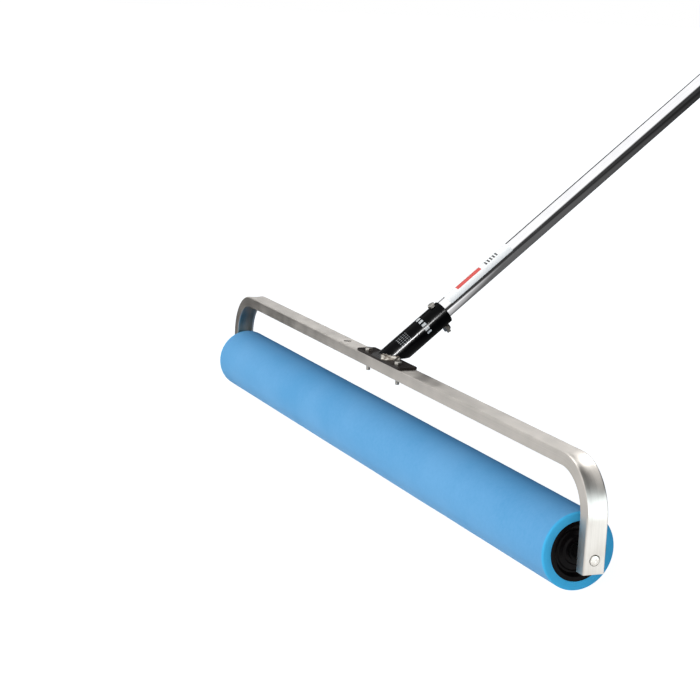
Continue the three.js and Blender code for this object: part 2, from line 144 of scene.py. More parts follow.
@dataclass(frozen=True)
class HandleAxis:
    """The leaning line that the socket, the pole and the grip share."""

    middle: Vector
    direction: Vector
    length: float
    radius: float

    @classmethod
    def of_tube(cls, node: str) -> "HandleAxis":
        """Reads the axis of a square-ended tube from its box.

        Args:
            node: The tube's node. It leans in the YZ plane only.

        Returns:
            The tube's axis, with its length and radius.
        """
        size = node_size(node)
        diameter = size.x
        angle = math.atan2(size.z, size.y)
        for _ in range(24):
            run = size.y - diameter * math.sin(angle)
            rise = size.z - diameter * math.cos(angle)
            angle = math.atan2(rise, run)
        direction = Vector((0.0, math.cos(angle), math.sin(angle)))
        return cls(node_centre(node), direction, math.hypot(run, rise), diameter / 2)

    @property
    def start(self) -> Vector:
        """The middle of the tube's lower end."""
        return self.middle - self.direction * self.length / 2

    @property
    def end(self) -> Vector:
        """The middle of the tube's upper end."""
        return self.middle + self.direction * self.length / 2

    @property
    def front(self) -> Vector:
        """The direction square to the axis that points up and forwards."""
        return X_AXIS.cross(self.direction).normalized()

    @property
    def place(self) -> Matrix:
        """Carries a piece made about Z onto the axis, zero at the lower end."""
        return placed(self.start, self.direction)

    def moved_forward(self, offset: float) -> "HandleAxis":
        """The same axis, moved up and forwards by an offset."""
        return replace(self, middle=self.middle + self.front * offset)

    def distance_to(self, point: Vector) -> float:
        """How far along the axis a point lies, from the tube's lower end."""
        return (point - self.start).dot(self.direction)

    def at(self, distance: float) -> Vector:
        """The point on the axis at a distance from the tube's lower end."""
        return self.start + self.direction * distance

    def round_map(self, angle: float, origin: float) -> MapRule:
        """Map coordinates on a tube: along it, and round it from one side.

        Args:
            angle: Where round the tube the map starts, up from +X.
            origin: Where along the tube the map starts.

        Returns:
            The rule that gives the two coordinates of a point, in metres.
        """
        facing = X_AXIS * math.cos(angle) + self.front * math.sin(angle)
        across = self.direction.cross(facing)

        def rule(point: Vector) -> tuple[float, float]:
            """The two coordinates of one point.

            Args:
                point: A point of the piece.

            Returns:
                How far along and how far round it lies.
            """
            arm = point - self.start
            around = math.atan2(arm.dot(across), arm.dot(facing))
            return arm.dot(self.direction) - origin, around * self.radius

        return rule


# ---- Making meshes ----


def shade(mesh: bpy.types.Mesh, smooth_angle: float) -> None:
    """Smooths a mesh but for its edges sharper than an angle in degrees."""
    mesh.shade_smooth()
    mesh.set_sharp_from_angle(angle=math.radians(smooth_angle))


def to_object(bm: BMesh, name: str, smooth_angle: float = SMOOTH_ANGLE) -> Object:
    """Turns a finished bmesh into an object at the origin.

    Args:
        bm: The mesh being built. It is freed.
        name: The piece's name.
        smooth_angle: Edges sharper than this many degrees stay hard.

    Returns:
        The new object, linked to the scene.
    """
    mesh = bpy.data.meshes.new(name)
    bm.to_mesh(mesh)
    bm.free()
    shade(mesh, smooth_angle)
    piece = bpy.data.objects.new(name, mesh)
    bpy.context.scene.collection.objects.link(piece)
    return piece


def whole(bm: BMesh) -> list:
    """Everything in a mesh, for an operator to work on."""
    return bm.verts[:] + bm.edges[:] + bm.faces[:]


def only(kind: type, found: Iterable) -> list:
    """The items of one kind among an operator's results."""
    return [item for item in found if isinstance(item, kind)]


def tidy_normals(bm: BMesh, merge: float = 0.002 * MM) -> None:
    """Merges doubled points and turns every face outwards.

    Args:
        bm: The mesh to work on.
        merge: Points closer than this become one.
    """
    bmesh.ops.remove_doubles(bm, verts=bm.verts, dist=merge)
    bmesh.ops.dissolve_degenerate(bm, edges=bm.edges, dist=merge)
    bmesh.ops.recalc_face_normals(bm, faces=bm.faces)


def draw_line(bm: BMesh, points: Iterable[Vector], closed: bool) -> None:
    """Adds a chain of edges through some points.

    Args:
        bm: The mesh to work on.
        points: The points, in order.
        closed: Whether the last one joins the first.
    """
    verts = [bm.verts.new(point) for point in points]
    for first, second in zip(verts, verts[1:]):
        bm.edges.new((first, second))
    if closed:
        bm.edges.new((verts[-1], verts[0]))


def tube_profile(inner: float, outer: float, low: float, high: float) -> Profile:
    """The section of a square-ended tube."""
    return [(inner, low), (outer, low), (outer, high), (inner, high)]


def bevel(bm: BMesh, geom: list, radius: float, segments: int, affect: str = "VERTICES") -> None:
    """Rounds some corners, or some edges, of a mesh.

    Args:
        bm: The mesh to work on.
        geom: The corners or the edges.
        radius: How far each is rounded.
        segments: How many facets each gets.
        affect: VERTICES for corners and EDGES for edges.
    """
    bmesh.ops.bevel(
        bm, geom=geom, offset=radius, offset_type="OFFSET", segments=segments,
        profile=0.5, affect=affect, material=-1, clamp_overlap=True,
    )


def soften_corners(bm: BMesh, radius: float, segments: int = 4) -> None:
    """Rounds the corners of a chain of edges, leaving its loose ends alone."""
    bevel(bm, [vert for vert in bm.verts if len(vert.link_edges) == 2], radius, segments)


def spin(bm: BMesh, geom: list, centre: Vector, axis: Vector, turn: float, steps: int,
         merge: bool) -> list[BMEdge]:
    """Sweeps a drawing round an axis.

    Args:
        bm: The mesh that it is in.
        geom: What is swept.
        centre: A point on the axis.
        axis: The axis's direction.
        turn: How far it is swept.
        steps: In how many steps.
        merge: Whether the end is joined to the start.

    Returns:
        The edges of the drawing's last place.
    """
    return only(BMEdge, bmesh.ops.spin(
        bm, geom=geom, cent=centre, axis=axis, dvec=(0, 0, 0), angle=turn, steps=steps,
        use_merge=merge, use_normal_flip=False, use_duplicate=False,
    )["geom_last"])


@dataclass
class Turned:
    """A piece turned on a lathe about its own Z."""

    name: str
    profile: Profile
    ring: bool = False
    soften: float = 0.0
    segments: int = 96
    start: float = 0.0
    turn: float = math.tau

    def spun(self, bm: BMesh) -> BMesh:
        """Spins a drawn profile about Z into a closed skin.

        Args:
            bm: The mesh to work on.

        Returns:
            The same mesh.
        """
        full = self.turn >= math.tau
        if not full:
            bmesh.ops.contextual_create(bm, geom=bm.edges[:])
        bmesh.ops.rotate(bm, matrix=Matrix.Rotation(self.start, 3, "Z"), verts=bm.verts)
        spin(bm, whole(bm), Vector(), Z_AXIS, self.turn, self.segments, full)
        tidy_normals(bm)
        return bm

    def mesh(self, place: Matrix) -> BMesh:
        """The turned mesh, carried from its own Z to its place.

        Args:
            place: Carries the piece from its own Z to where it belongs.

        Returns:
            The mesh, in place.
        """
        bm = bmesh.new()
        draw_line(bm, (Vector((r, 0.0, h)) for r, h in self.profile), self.ring)
        if self.soften > 0.0:
            soften_corners(bm, self.soften)
        self.spun(bm)
        bmesh.ops.transform(bm, matrix=place, verts=bm.verts)
        return bm

    def build(self, place: Matrix) -> Object:
        """The turned piece as an object, in place."""
        return to_object(self.mesh(place), self.name)


def cut_with(piece: Object, tool: BMesh) -> None:
    """Cuts a closed tool out of a piece and applies the cut.

    Args:
        piece: What is cut.
        tool: The closed mesh to take away. It is freed.
    """
    cutter = to_object(tool, "cutter")
    modifier = piece.modifiers.new("cut", "BOOLEAN")
    modifier.operation = "DIFFERENCE"
    modifier.solver = "EXACT"
    modifier.object = cutter
    bpy.context.view_layer.update()
    graph = bpy.context.evaluated_depsgraph_get()
    done = bpy.data.meshes.new_from_object(piece.evaluated_get(graph))
    shade(done, SMOOTH_ANGLE)
    piece.modifiers.remove(modifier)
    old = piece.data
    piece.data = done
    bpy.data.meshes.remove(old)
    bpy.data.objects.remove(cutter)


def even_shading(piece: Object) -> None:
    """Keeps the flat faces flat-looking up to their rounded edges.

    Args:
        piece: The piece to shade.
    """
    modifier = piece.modifiers.new("even", "WEIGHTED_NORMAL")
    modifier.keep_sharp = True
    modifier.weight = 100


def box_tool(low: Vector, high: Vector) -> BMesh:
    """A closed box between two corners, to cut with.

    Args:
        low: The low end.
        high: The high end.

    Returns:
        The box's mesh.
    """
    bm = bmesh.new()
    bmesh.ops.create_cube(bm, size=1.0)
    bmesh.ops.scale(bm, vec=high - low, verts=bm.verts)
    bmesh.ops.translate(bm, vec=(low + high) / 2, verts=bm.verts)
    return bm


def drill(piece: Object, origin: Vector, axis: Vector, diameter: float, reach: float) -> None:
    """Cuts a round hole through a piece.

    Args:
        piece: What is drilled.
        origin: A point on the hole's axis, halfway along the drill.
        axis: The hole's direction.
        diameter: The hole's width.
        reach: How far the drill runs each way.
    """
    bm = bmesh.new()
    bmesh.ops.create_cone(
        bm, cap_ends=True, segments=48, radius1=diameter / 2, radius2=diameter / 2,
        depth=2 * reach, matrix=placed(origin, axis),
    )
    cut_with(piece, bm)


def write_uv(piece: Object, rule: MapRule, girth: float = math.inf) -> None:
    """Gives a piece its own UV map from a rule on position.

    Args:
        piece: The piece, in place.
        rule: Gives the two pattern coordinates, in metres, of a point.
        girth: How far round the second coordinate runs before it starts again.
    """
    layer = piece.data.uv_layers.new(name="along")
    points = piece.data.vertices
    for face in piece.data.polygons:
        pairs = [rule(points[index].co) for index in face.vertices]
        top = max(around for _, around in pairs)
        for loop, (along, around) in zip(face.loop_indices, pairs):
            wrapped = around + girth if top - around > girth / 2 else around
            layer.data[loop].uv = (along, wrapped)


# ---- Finishes ----


@dataclass
class NodeSheet:
    """A material's node tree, with short calls for the nodes used here."""

    material: Material
    shader: bpy.types.ShaderNode

    @classmethod
    def start(cls, name: str) -> "NodeSheet":
        """Makes a material and finds its main shader.

        Args:
            name: The material's name.

        Returns:
            The sheet of nodes.
        """
        material = bpy.data.materials.new(name)
        material.use_nodes = True
        return cls(material, material.node_tree.nodes["Principled BSDF"])

    def add(self, kind: str, **settings: object) -> bpy.types.ShaderNode:
        """Adds a node.

        Args:
            kind: The node's type name, without its ShaderNode prefix.
            settings: Properties of the node, by name.

        Returns:
            The new node.
        """
        node = self.material.node_tree.nodes.new("ShaderNode" + kind)
        for key, value in settings.items():
            setattr(node, key, value)
        return node

    def join(self, source: Socket, target: Socket) -> None:
        """Links two sockets."""
        self.material.node_tree.links.new(source, target)

    def feed(self, target: Socket, value: object) -> None:
        """Links a socket, or sets its value.

        Args:
            target: The socket to fill.
            value: A socket or a plain value.
        """
        if isinstance(value, Socket):
            self.join(value, target)
        else:
            target.default_value = value

    def place(self, stretch: Colour = (1.0, 1.0, 1.0), use_uv: bool = False) -> Socket:
        """The point being shaded, stretched.

        Args:
            stretch: How much finer the pattern runs along each axis.
            use_uv: Reads the piece's own map instead of its position.

        Returns:
            The vector socket.
        """
        source = self.add("TexCoord").outputs["UV" if use_uv else "Object"]
        mapping = self.add("Mapping")
        mapping.inputs["Scale"].default_value = stretch
        self.join(source, mapping.inputs["Vector"])
        return mapping.outputs["Vector"]

    def grain(self, where: Socket, scale: float, detail: float = 3.0,
              roughness: float = 0.5) -> Socket:
        """A cloudy pattern.

        Args:
            where: The vector that it follows.
            scale: Clouds to the metre.
            detail: How many finer layers it has.
            roughness: How strong the finer layers are.

        Returns:
            The pattern's value, from 0 to 1.
        """
        node = self.add("TexNoise")
        self.join(where, node.inputs["Vector"])
        node.inputs["Scale"].default_value = scale
        node.inputs["Detail"].default_value = detail
        node.inputs["Roughness"].default_value = roughness
        return node.outputs["Fac"]

    def pores(self, where: Socket, scale: float) -> Socket:
        """The distance to the nearest of many scattered pits.

        Args:
            where: The vector that it reads.
            scale: Pits to the metre.

        Returns:
            The pattern's value.
        """
        node = self.add("TexVoronoi")
        self.join(where, node.inputs["Vector"])
        node.inputs["Scale"].default_value = scale
        return node.outputs["Distance"]

    def spread(self, value: Socket, low: float, high: float,
               to_low: float = 0.0, to_high: float = 1.0) -> Socket:
        """Maps a value from one range to another, clamped.

        Args:
            value: What is mapped.
            low: The value that becomes to_low.
            high: The value that becomes to_high.
            to_low: The low end of the result.
            to_high: The high end of the result.

        Returns:
            The mapped value.
        """
        node = self.add("MapRange", clamp=True)
        self.join(value, node.inputs["Value"])
        for socket, number in zip(node.inputs[1:5], (low, high, to_low, to_high)):
            socket.default_value = number
        return node.outputs["Result"]

    def sums(self, operation: str, first: object, second: object = 0.0) -> Socket:
        """One arithmetic step on two values, or one that takes two vectors to a value.

        Args:
            operation: The node's name for the step.
            first: A socket or a value.
            second: A socket or a value.

        Returns:
            The result.
        """
        vectors = operation in ("DOT_PRODUCT", "DISTANCE")
        node = self.add("VectorMath" if vectors else "Math", operation=operation)
        self.feed(node.inputs[0], first)
        self.feed(node.inputs[1], second)
        return node.outputs["Value"]

    def times(self, *values: object) -> Socket:
        """The product of some values.

        Args:
            values: Sockets or numbers.

        Returns:
            The product.
        """
        product = values[0]
        for value in values[1:]:
            product = self.sums("MULTIPLY", product, value)
        return product

    def mixed(self, first: Socket, share: float, second: Socket, rest: float) -> Socket:
        """The sum of two patterns, each times its weight."""
        return self.sums("ADD", self.times(first, share), self.times(second, rest))

    def parts(self, where: Socket) -> tuple[Socket, Socket]:
        """The first two coordinates of a vector.

        Args:
            where: The vector that it reads.

        Returns:
            The two coordinates.
        """
        split = self.add("SeparateXYZ")
        self.join(where, split.inputs[0])
        return split.outputs["X"], split.outputs["Y"]

    def blend(self, share: object, first: object, second: object) -> Socket:
        """A colour between two colours.

        Args:
            share: 0 gives the first colour and 1 the second.
            first: A colour or a socket.
            second: A colour or a socket.

        Returns:
            The colour socket.
        """
        node = self.add("Mix", data_type="RGBA")
        self.feed(node.inputs["Factor"], share)
        for socket, value in ((node.inputs[6], first), (node.inputs[7], second)):
            self.feed(socket, (*value, 1.0) if isinstance(value, tuple) else value)
        return node.outputs[2]

    def relief(self, height: Socket, depth: float, strength: float = 1.0,
               under: Optional[Socket] = None) -> Socket:
        """A bump.

        Args:
            height: The pattern, from 0 to 1.
            depth: What a whole step of it stands for, in metres.
            strength: The bump's weight.
            under: A bump that this one lies on.

        Returns:
            The bent normal.
        """
        node = self.add("Bump")
        self.join(height, node.inputs["Height"])
        node.inputs["Distance"].default_value = depth
        node.inputs["Strength"].default_value = strength
        if under is not None:
            self.join(under, node.inputs["Normal"])
        return node.outputs["Normal"]

    def use(self, **values: object) -> Material:
        """Sets or links the shader's inputs.

        Args:
            values: Input names, with underscores for spaces.

        Returns:
            The finished material.
        """
        for key, value in values.items():
            socket = self.shader.inputs[key.replace("_", " ")]
            if isinstance(value, tuple) and socket.type == "RGBA":
                value = (*value, 1.0)
            self.feed(socket, value)
        return self.material


@dataclass(frozen=True)
class Finish:
    """What every finish has: its slot in the record and one material."""

    slot: str

    @property
    def name(self) -> str:
        """The material's name."""
        return "finish_" + self.slot

    def material(self) -> Material:
        """The finish's material, made the first time it is asked for."""
        found = bpy.data.materials.get(self.name)
        return found or self.make(NodeSheet.start(self.name))

    def make(self, sheet: NodeSheet) -> Material:
        """Builds the material's nodes."""
        raise NotImplementedError


@dataclass(frozen=True)
class DrawnMetal(Finish):
    """Bare metal with fine lines along the way it was drawn."""

    light: Colour
    dark: Colour
    roughness: tuple[float, float]
    lines_per_metre: float
    line_depth: float
    use_uv: bool = False

    def make(self, sheet: NodeSheet) -> Material:
        """Long streaks, cloudy handling marks and a few small scratches.

        Args:
            sheet: The new material's nodes.

        Returns:
            The finished material.
        """
        streaks = sheet.place((1.5, self.lines_per_metre, self.lines_per_metre), self.use_uv)
        lines = sheet.grain(streaks, 1.0, detail=5.0, roughness=0.65)
        cloud = sheet.grain(sheet.place(), 38.0, detail=4.0)
        marks = sheet.grain(sheet.place(), 900.0, detail=2.0)
        tone = sheet.mixed(lines, 0.6, cloud, 0.4)
        dull = sheet.sums("ADD", cloud, sheet.times(lines, 0.5))
        fine = sheet.relief(marks, 0.004 * MM, 0.4)
        return sheet.use(
            Base_Color=sheet.blend(sheet.spread(tone, 0.38, 0.62), self.dark, self.light),
            Metallic=1.0,
            Roughness=sheet.spread(dull, 0.5, 1.0, *self.roughness),
            Normal=sheet.relief(lines, self.line_depth, 0.6, fine),
        )


@dataclass(frozen=True)
class PlatedSteel(Finish):
    """Bright plated fasteners with a mottled, slightly dull skin."""

    light: Colour
    dark: Colour
    roughness: float
    grade: str = ""

    @property
    def name(self) -> str:
        """The material's name, with the suffix of a darker copy that carries painted shade."""
        return f"finish_{self.slot}{self.grade}"

    def make(self, sheet: NodeSheet) -> Material:
        """Mottled plating, darker in its low spots.

        Args:
            sheet: The new material's nodes.

        Returns:
            The finished material.
        """
        # The mottle both darkens the plating and sinks its bump, so the low spots are the darker
        # ones.
        mottle = sheet.grain(sheet.place(), 700.0, detail=4.0)
        wear = sheet.grain(sheet.place(), 120.0, detail=2.0)
        return sheet.use(
            Base_Color=sheet.blend(sheet.spread(mottle, 0.35, 0.65), self.dark, self.light),
            Metallic=1.0,
            Roughness=sheet.spread(wear, 0.3, 0.7, self.roughness, self.roughness + 0.14),
            Normal=sheet.relief(mottle, 0.02 * MM, 0.5),
        )


@dataclass(frozen=True)
class WeldMetal(Finish):
    """Unpainted filler metal, as the torch left it."""

    bright: Colour
    scorched: Colour
    paint: Colour
    bare_way: Colour
    bare_from: float
    edge_wander: float = 2.0 * MM
    edge_half_width: float = 0.6 * MM

    def make(self, sheet: NodeSheet) -> Material:
        """Bright metal, scorched in patches, with the paint's edge over its left part.

        Args:
            sheet: The new material's nodes.

        Returns:
            The finished material.
        """
        scale = sheet.grain(sheet.place(), 420.0, detail=4.0, roughness=0.6)
        patch = sheet.grain(sheet.place((1.0, 1.0, 2.2)), 230.0, detail=2.0)
        across = sheet.sums("DOT_PRODUCT", sheet.place(), self.bare_way)
        ragged = sheet.sums("ADD", across, sheet.times(scale, self.edge_wander))
        middle = node_centre("socket_weld").dot(Vector(self.bare_way))
        edge = middle + self.bare_from + self.edge_wander / 2
        bare = sheet.spread(ragged, edge - self.edge_half_width, edge + self.edge_half_width)
        metal = sheet.blend(sheet.spread(patch, 0.40, 0.58), self.bright, self.scorched)
        return sheet.use(
            Base_Color=sheet.blend(bare, self.paint, metal),
            Metallic=bare,
            Roughness=sheet.spread(scale, 0.3, 0.7, 0.22, 0.45),
            Normal=sheet.relief(scale, 0.10 * MM, 0.5),
        )


@dataclass(frozen=True)
class Enamel(Finish):
    """Paint over steel: a dark colour with a slightly wavy skin."""

    colour: Colour
    dust: Colour
    roughness: float
    shine: float
    waviness: float

    def make(self, sheet: NodeSheet) -> Material:
        """Paint with a little orange peel and a thin film of dust.

        Args:
            sheet: The new material's nodes.

        Returns:
            The finished material.
        """
        peel = sheet.grain(sheet.place(), 420.0, detail=2.0)
        film = sheet.grain(sheet.place(), 60.0, detail=5.0, roughness=0.6)
        dusty = sheet.spread(film, 0.45, 0.75, 0.0, 0.35)
        return sheet.use(
            Base_Color=sheet.blend(dusty, self.colour, self.dust),
            Roughness=sheet.spread(film, 0.35, 0.75, self.roughness, self.roughness + 0.16),
            Normal=sheet.relief(peel, self.waviness, 0.5),
            Specular_IOR_Level=self.shine,
        )


@dataclass(frozen=True)
class PrintedEnamel(Enamel):
    """Gloss paint with plain pale blocks and rows of dashes printed on it, no lettering."""

    ink: Colour
    blocks_along: Span
    blocks_around: Span
    block_pitch: float
    rows_along: Span
    rows_around: Span
    row_pitch: float
    dash_pitch: float

    def make(self, sheet: NodeSheet) -> Material:
        """The paint, then the blocks and the dashes as masks on the socket's own map.

        Args:
            sheet: The new material's nodes.

        Returns:
            The finished material.
        """
        material = super().make(sheet)
        along, around = sheet.parts(sheet.place(use_uv=True))

        def window(along_span: Span, around_span: Span) -> Socket:
            """1 inside a patch of the map and 0 outside it.

            Args:
                along_span: Its limits along the tube.
                around_span: Its limits round the tube.

            Returns:
                The mask.
            """
            sides = []
            for value, (low, high) in ((along, along_span), (around, around_span)):
                sides.append(sheet.sums("GREATER_THAN", value, low))
                sides.append(sheet.sums("LESS_THAN", value, high))
            return sheet.times(*sides)

        def beat(value: Socket, pitch: float, share: float) -> Socket:
            """1 for the first share of every pitch and 0 for the rest."""
            phase = sheet.sums("FRACT", sheet.sums("DIVIDE", value, pitch))
            return sheet.sums("LESS_THAN", phase, share)

        blocks = window(self.blocks_along, self.blocks_around)
        blocks = sheet.times(blocks, beat(around, self.block_pitch, 0.6))
        rows = window(self.rows_along, self.rows_around)
        dashes = sheet.times(beat(around, self.row_pitch, 0.45), beat(along, self.dash_pitch, 0.6))
        rows = sheet.times(rows, dashes, 0.45)
        wear = sheet.spread(sheet.grain(sheet.place(), 600.0), 0.35, 0.5, 0.5, 1.0)
        inked = sheet.times(sheet.sums("MAXIMUM", blocks, rows), wear)
        paint = sheet.shader.inputs["Base Color"].links[0].from_socket
        sheet.use(Base_Color=sheet.blend(inked, paint, self.ink))
        return material


@dataclass(frozen=True)
class MouldedPlastic(Finish):
    """Moulded or drawn plastic with a soft, faintly uneven skin."""

    colour: Colour
    shade: Colour
    roughness: float
    glow: float = 0.0
    shine: float = 0.5

    def make(self, sheet: NodeSheet) -> Material:
        """Faint flow marks in the colour and a fine mould grain.

        Args:
            sheet: The new material's nodes.

        Returns:
            The finished material.
        """
        flow = sheet.grain(sheet.place((1.0, 3.0, 3.0)), 45.0, detail=3.0)
        skin = sheet.grain(sheet.place(), 1500.0, detail=2.0)
        return sheet.use(
            Base_Color=sheet.blend(sheet.spread(flow, 0.35, 0.65), self.shade, self.colour),
            Roughness=sheet.spread(flow, 0.3, 0.7, self.roughness, self.roughness + 0.1),
            Normal=sheet.relief(skin, 0.01 * MM, 0.4),
            Subsurface_Weight=self.glow,
            Subsurface_Scale=1.5 * MM,
            Specular_IOR_Level=self.shine,
        )


@dataclass(frozen=True)
class WetFoam(Finish):
    """Fine, smooth, dyed foam: soft sheen, open pores and a pale haze."""

    colour: Colour
    deep: Colour
    cut_colour: Colour
    end_inset: float

    def make(self, sheet: NodeSheet) -> Material:
        """Clouded dye, two sizes of pore with painted shade in the pits, and a brighter cut face
        at each end.

        Args:
            sheet: The new material's nodes.

        Returns:
            The finished material.
        """
        where = sheet.place()
        dye = sheet.grain(where, 9.0, detail=4.0)
        fine = sheet.grain(where, 240.0, detail=4.0, roughness=0.6)
        pores = sheet.pores(where, 1100.0)
        along, _ = sheet.parts(where)
        away = sheet.sums("SUBTRACT", along, node_centre("sponge_sleeve").x)
        half = node_size("sponge_sleeve").x / 2
        cut_face = sheet.spread(
            sheet.sums("ABSOLUTE", away), half - self.end_inset, half - 0.2 * self.end_inset,
        )
        cloud = sheet.mixed(dye, 0.65, fine, 0.35)
        dyed = sheet.blend(sheet.spread(cloud, 0.38, 0.62), self.deep, self.colour)
        # Painted shade: the pore pits are darkened towards the deep dye where the pore bump sinks.
        pits_painted_shade = sheet.blend(sheet.spread(pores, 0.05, 0.35, 0.35, 0.0), dyed, self.deep)
        rough = sheet.relief(fine, 0.12 * MM, 0.35)
        return sheet.use(
            Base_Color=sheet.blend(cut_face, pits_painted_shade, self.cut_colour),
            Roughness=sheet.spread(fine, 0.3, 0.7, 0.46, 0.60),
            Normal=sheet.relief(pores, 0.10 * MM, 0.4, rough),
            Specular_IOR_Level=0.10,
        )


@dataclass(frozen=True)
class GripRubber(Finish):
    """Black rubber with a fine stipple and a chalky bloom."""

    colour: Colour
    bloom: Colour

    def make(self, sheet: NodeSheet) -> Material:
        """Stippled rubber with paler bloom in patches.

        Args:
            sheet: The new material's nodes.

        Returns:
            The finished material.
        """
        stipple = sheet.pores(sheet.place(), 900.0)
        patch = sheet.grain(sheet.place(), 55.0, detail=5.0)
        return sheet.use(
            Base_Color=sheet.blend(sheet.spread(patch, 0.4, 0.75), self.colour, self.bloom),
            Roughness=sheet.spread(patch, 0.3, 0.7, 0.55, 0.8),
            Normal=sheet.relief(stipple, 0.12 * MM, 0.6),
        )


@dataclass(frozen=True)
class WrapLabel(Finish):
    """A plain white wrap with a red bar and short grey dashes, and no lettering."""

    paper: Colour
    bar: Colour
    dash: Colour
    bar_span: Span
    dash_span: Span
    bar_half_width: float
    dashes_per_metre: float
    printed_edge: float = 0.4 * MM

    @property
    def name(self) -> str:
        """The label has its own material beside the pole's."""
        return "finish_wrap_label"

    def make(self, sheet: NodeSheet) -> Material:
        """The bar and the dashes are masks on the wrap's own map.

        Args:
            sheet: The new material's nodes.

        Returns:
            The finished material.
        """
        along, around = sheet.parts(sheet.place(use_uv=True))

        def inside(value: Socket, low: float, high: float) -> Socket:
            """1 between two limits and 0 outside them, with a printed edge."""
            rising = sheet.spread(value, low, low + self.printed_edge)
            falling = sheet.spread(value, high - self.printed_edge, high, 1.0, 0.0)
            return sheet.times(rising, falling)

        strip = inside(around, -self.bar_half_width, self.bar_half_width)
        bar_mask = sheet.times(strip, inside(along, *self.bar_span))
        beat = sheet.sums("FRACT", sheet.times(along, self.dashes_per_metre))
        dash_mask = sheet.times(
            strip, inside(along, *self.dash_span), sheet.sums("LESS_THAN", beat, 0.55),
        )
        fibre = sheet.grain(sheet.place(), 1400.0, detail=3.0)
        shaded = sheet.spread(fibre, 0.35, 0.65, 0.0, 0.5)
        white = sheet.blend(shaded, self.paper, (0.95, 0.94, 0.91))
        printed = sheet.blend(bar_mask, white, self.bar)
        return sheet.use(
            Base_Color=sheet.blend(dash_mask, printed, self.dash),
            Roughness=sheet.spread(fibre, 0.3, 0.7, 0.3, 0.42),
            Normal=sheet.relief(fibre, 0.01 * MM, 0.3),
            Coat_Weight=0.4,
            Coat_Roughness=0.15,
        )


MILL_ALUMINIUM = DrawnMetal(
    "aluminium_mill", light=(0.62, 0.585, 0.545), dark=(0.48, 0.455, 0.42),
    roughness=(0.30, 0.46), lines_per_metre=1600.0, line_depth=0.012 * MM, use_uv=True,
)
POLISHED_ALUMINIUM = DrawnMetal(
    "aluminium_polished", light=(0.90, 0.90, 0.91), dark=(0.80, 0.80, 0.82),
    roughness=(0.06, 0.14), lines_per_metre=900.0, line_depth=0.002 * MM, use_uv=True,
)
PLATED_STEEL = PlatedSteel("steel_zinc", (0.78, 0.75, 0.70), (0.55, 0.53, 0.49), 0.24)
# A darker copy of the zinc steel for the nuts and washers on the far side of their bolts: painted
# shade, with a slightly rougher skin.
SHADED_DULL_STEEL = PlatedSteel("steel_zinc", (0.34, 0.32, 0.29), (0.15, 0.14, 0.125), 0.32, "_dull")
WELD = WeldMetal(
    "weld_metal", bright=(0.72, 0.69, 0.62), scorched=(0.20, 0.17, 0.14),
    paint=(0.006, 0.005, 0.005), bare_way=(0.41, 0.91, 0.0), bare_from=-4.5 * MM,
)
PRINTED_ENAMEL = PrintedEnamel(
    "paint_black", (0.0015, 0.0015, 0.002), (0.004, 0.0035, 0.003), 0.13, 0.05, 0.002 * MM,
    ink=(0.80, 0.80, 0.78), blocks_along=(61 * MM, 67 * MM), blocks_around=(-17 * MM, 8 * MM),
    block_pitch=5.6 * MM, rows_along=(26 * MM, 42 * MM), rows_around=(-13 * MM, 0 * MM),
    row_pitch=2.6 * MM, dash_pitch=3.4 * MM,
)
BROWN_ENAMEL = Enamel(
    "paint_brown_black", (0.013, 0.008, 0.006), (0.050, 0.038, 0.030), 0.40, 0.22, 0.03 * MM,
)
BLACK_PLASTIC = MouldedPlastic(
    "plastic_black", (0.003, 0.0025, 0.003), (0.006, 0.0045, 0.0045), 0.22, shine=0.07,
)
BLACK_NYLON = MouldedPlastic(
    "nylon_black", (0.003, 0.003, 0.003), (0.006, 0.006, 0.006), 0.36, shine=0.07,
)
PIPE_PLASTIC = MouldedPlastic("pipe_plastic", (0.66, 0.66, 0.64), (0.56, 0.56, 0.54), 0.34, 0.1)
BLUE_FOAM = WetFoam(
    "foam_blue", colour=(0.175, 0.470, 0.800), deep=(0.125, 0.415, 0.745),
    cut_colour=(0.075, 0.55, 0.94), end_inset=3.5 * MM,
)
BLACK_RUBBER = GripRubber("rubber_black", (0.012, 0.012, 0.013), (0.050, 0.048, 0.046))
WHITE_WRAP = WrapLabel(
    "aluminium_polished", paper=(0.99, 0.98, 0.95), bar=(0.62, 0.035, 0.022),
    dash=(0.03, 0.03, 0.03), bar_span=(17 * MM, 55 * MM), dash_span=(62 * MM, 82 * MM),
    bar_half_width=3.4 * MM, dashes_per_metre=240.0,
)


def fit_out(piece: Object, finish: Finish, body: str, *nodes: str) -> Object:
    """Dresses a new piece, seats it on its body and reports it.

    Args:
        piece: The finished piece, in place.
        finish: What it is covered with.
        body: The body that it moves with.
        nodes: The frame nodes that it stands for.

    Returns:
        The same piece.
    """
    piece.data.materials.clear()
    piece.data.materials.append(finish.material())
    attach(piece, body)
    if nodes:
        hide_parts(*nodes)
    size = piece.dimensions / MM
    LOG.info(
        "%-26s %6d faces  %7.1f x %6.1f x %6.1f mm  for %s", piece.name,
        len(piece.data.polygons), size.x, size.y, size.z, ", ".join(nodes) or "no node",
    )
    return piece


# ---- Roller ----


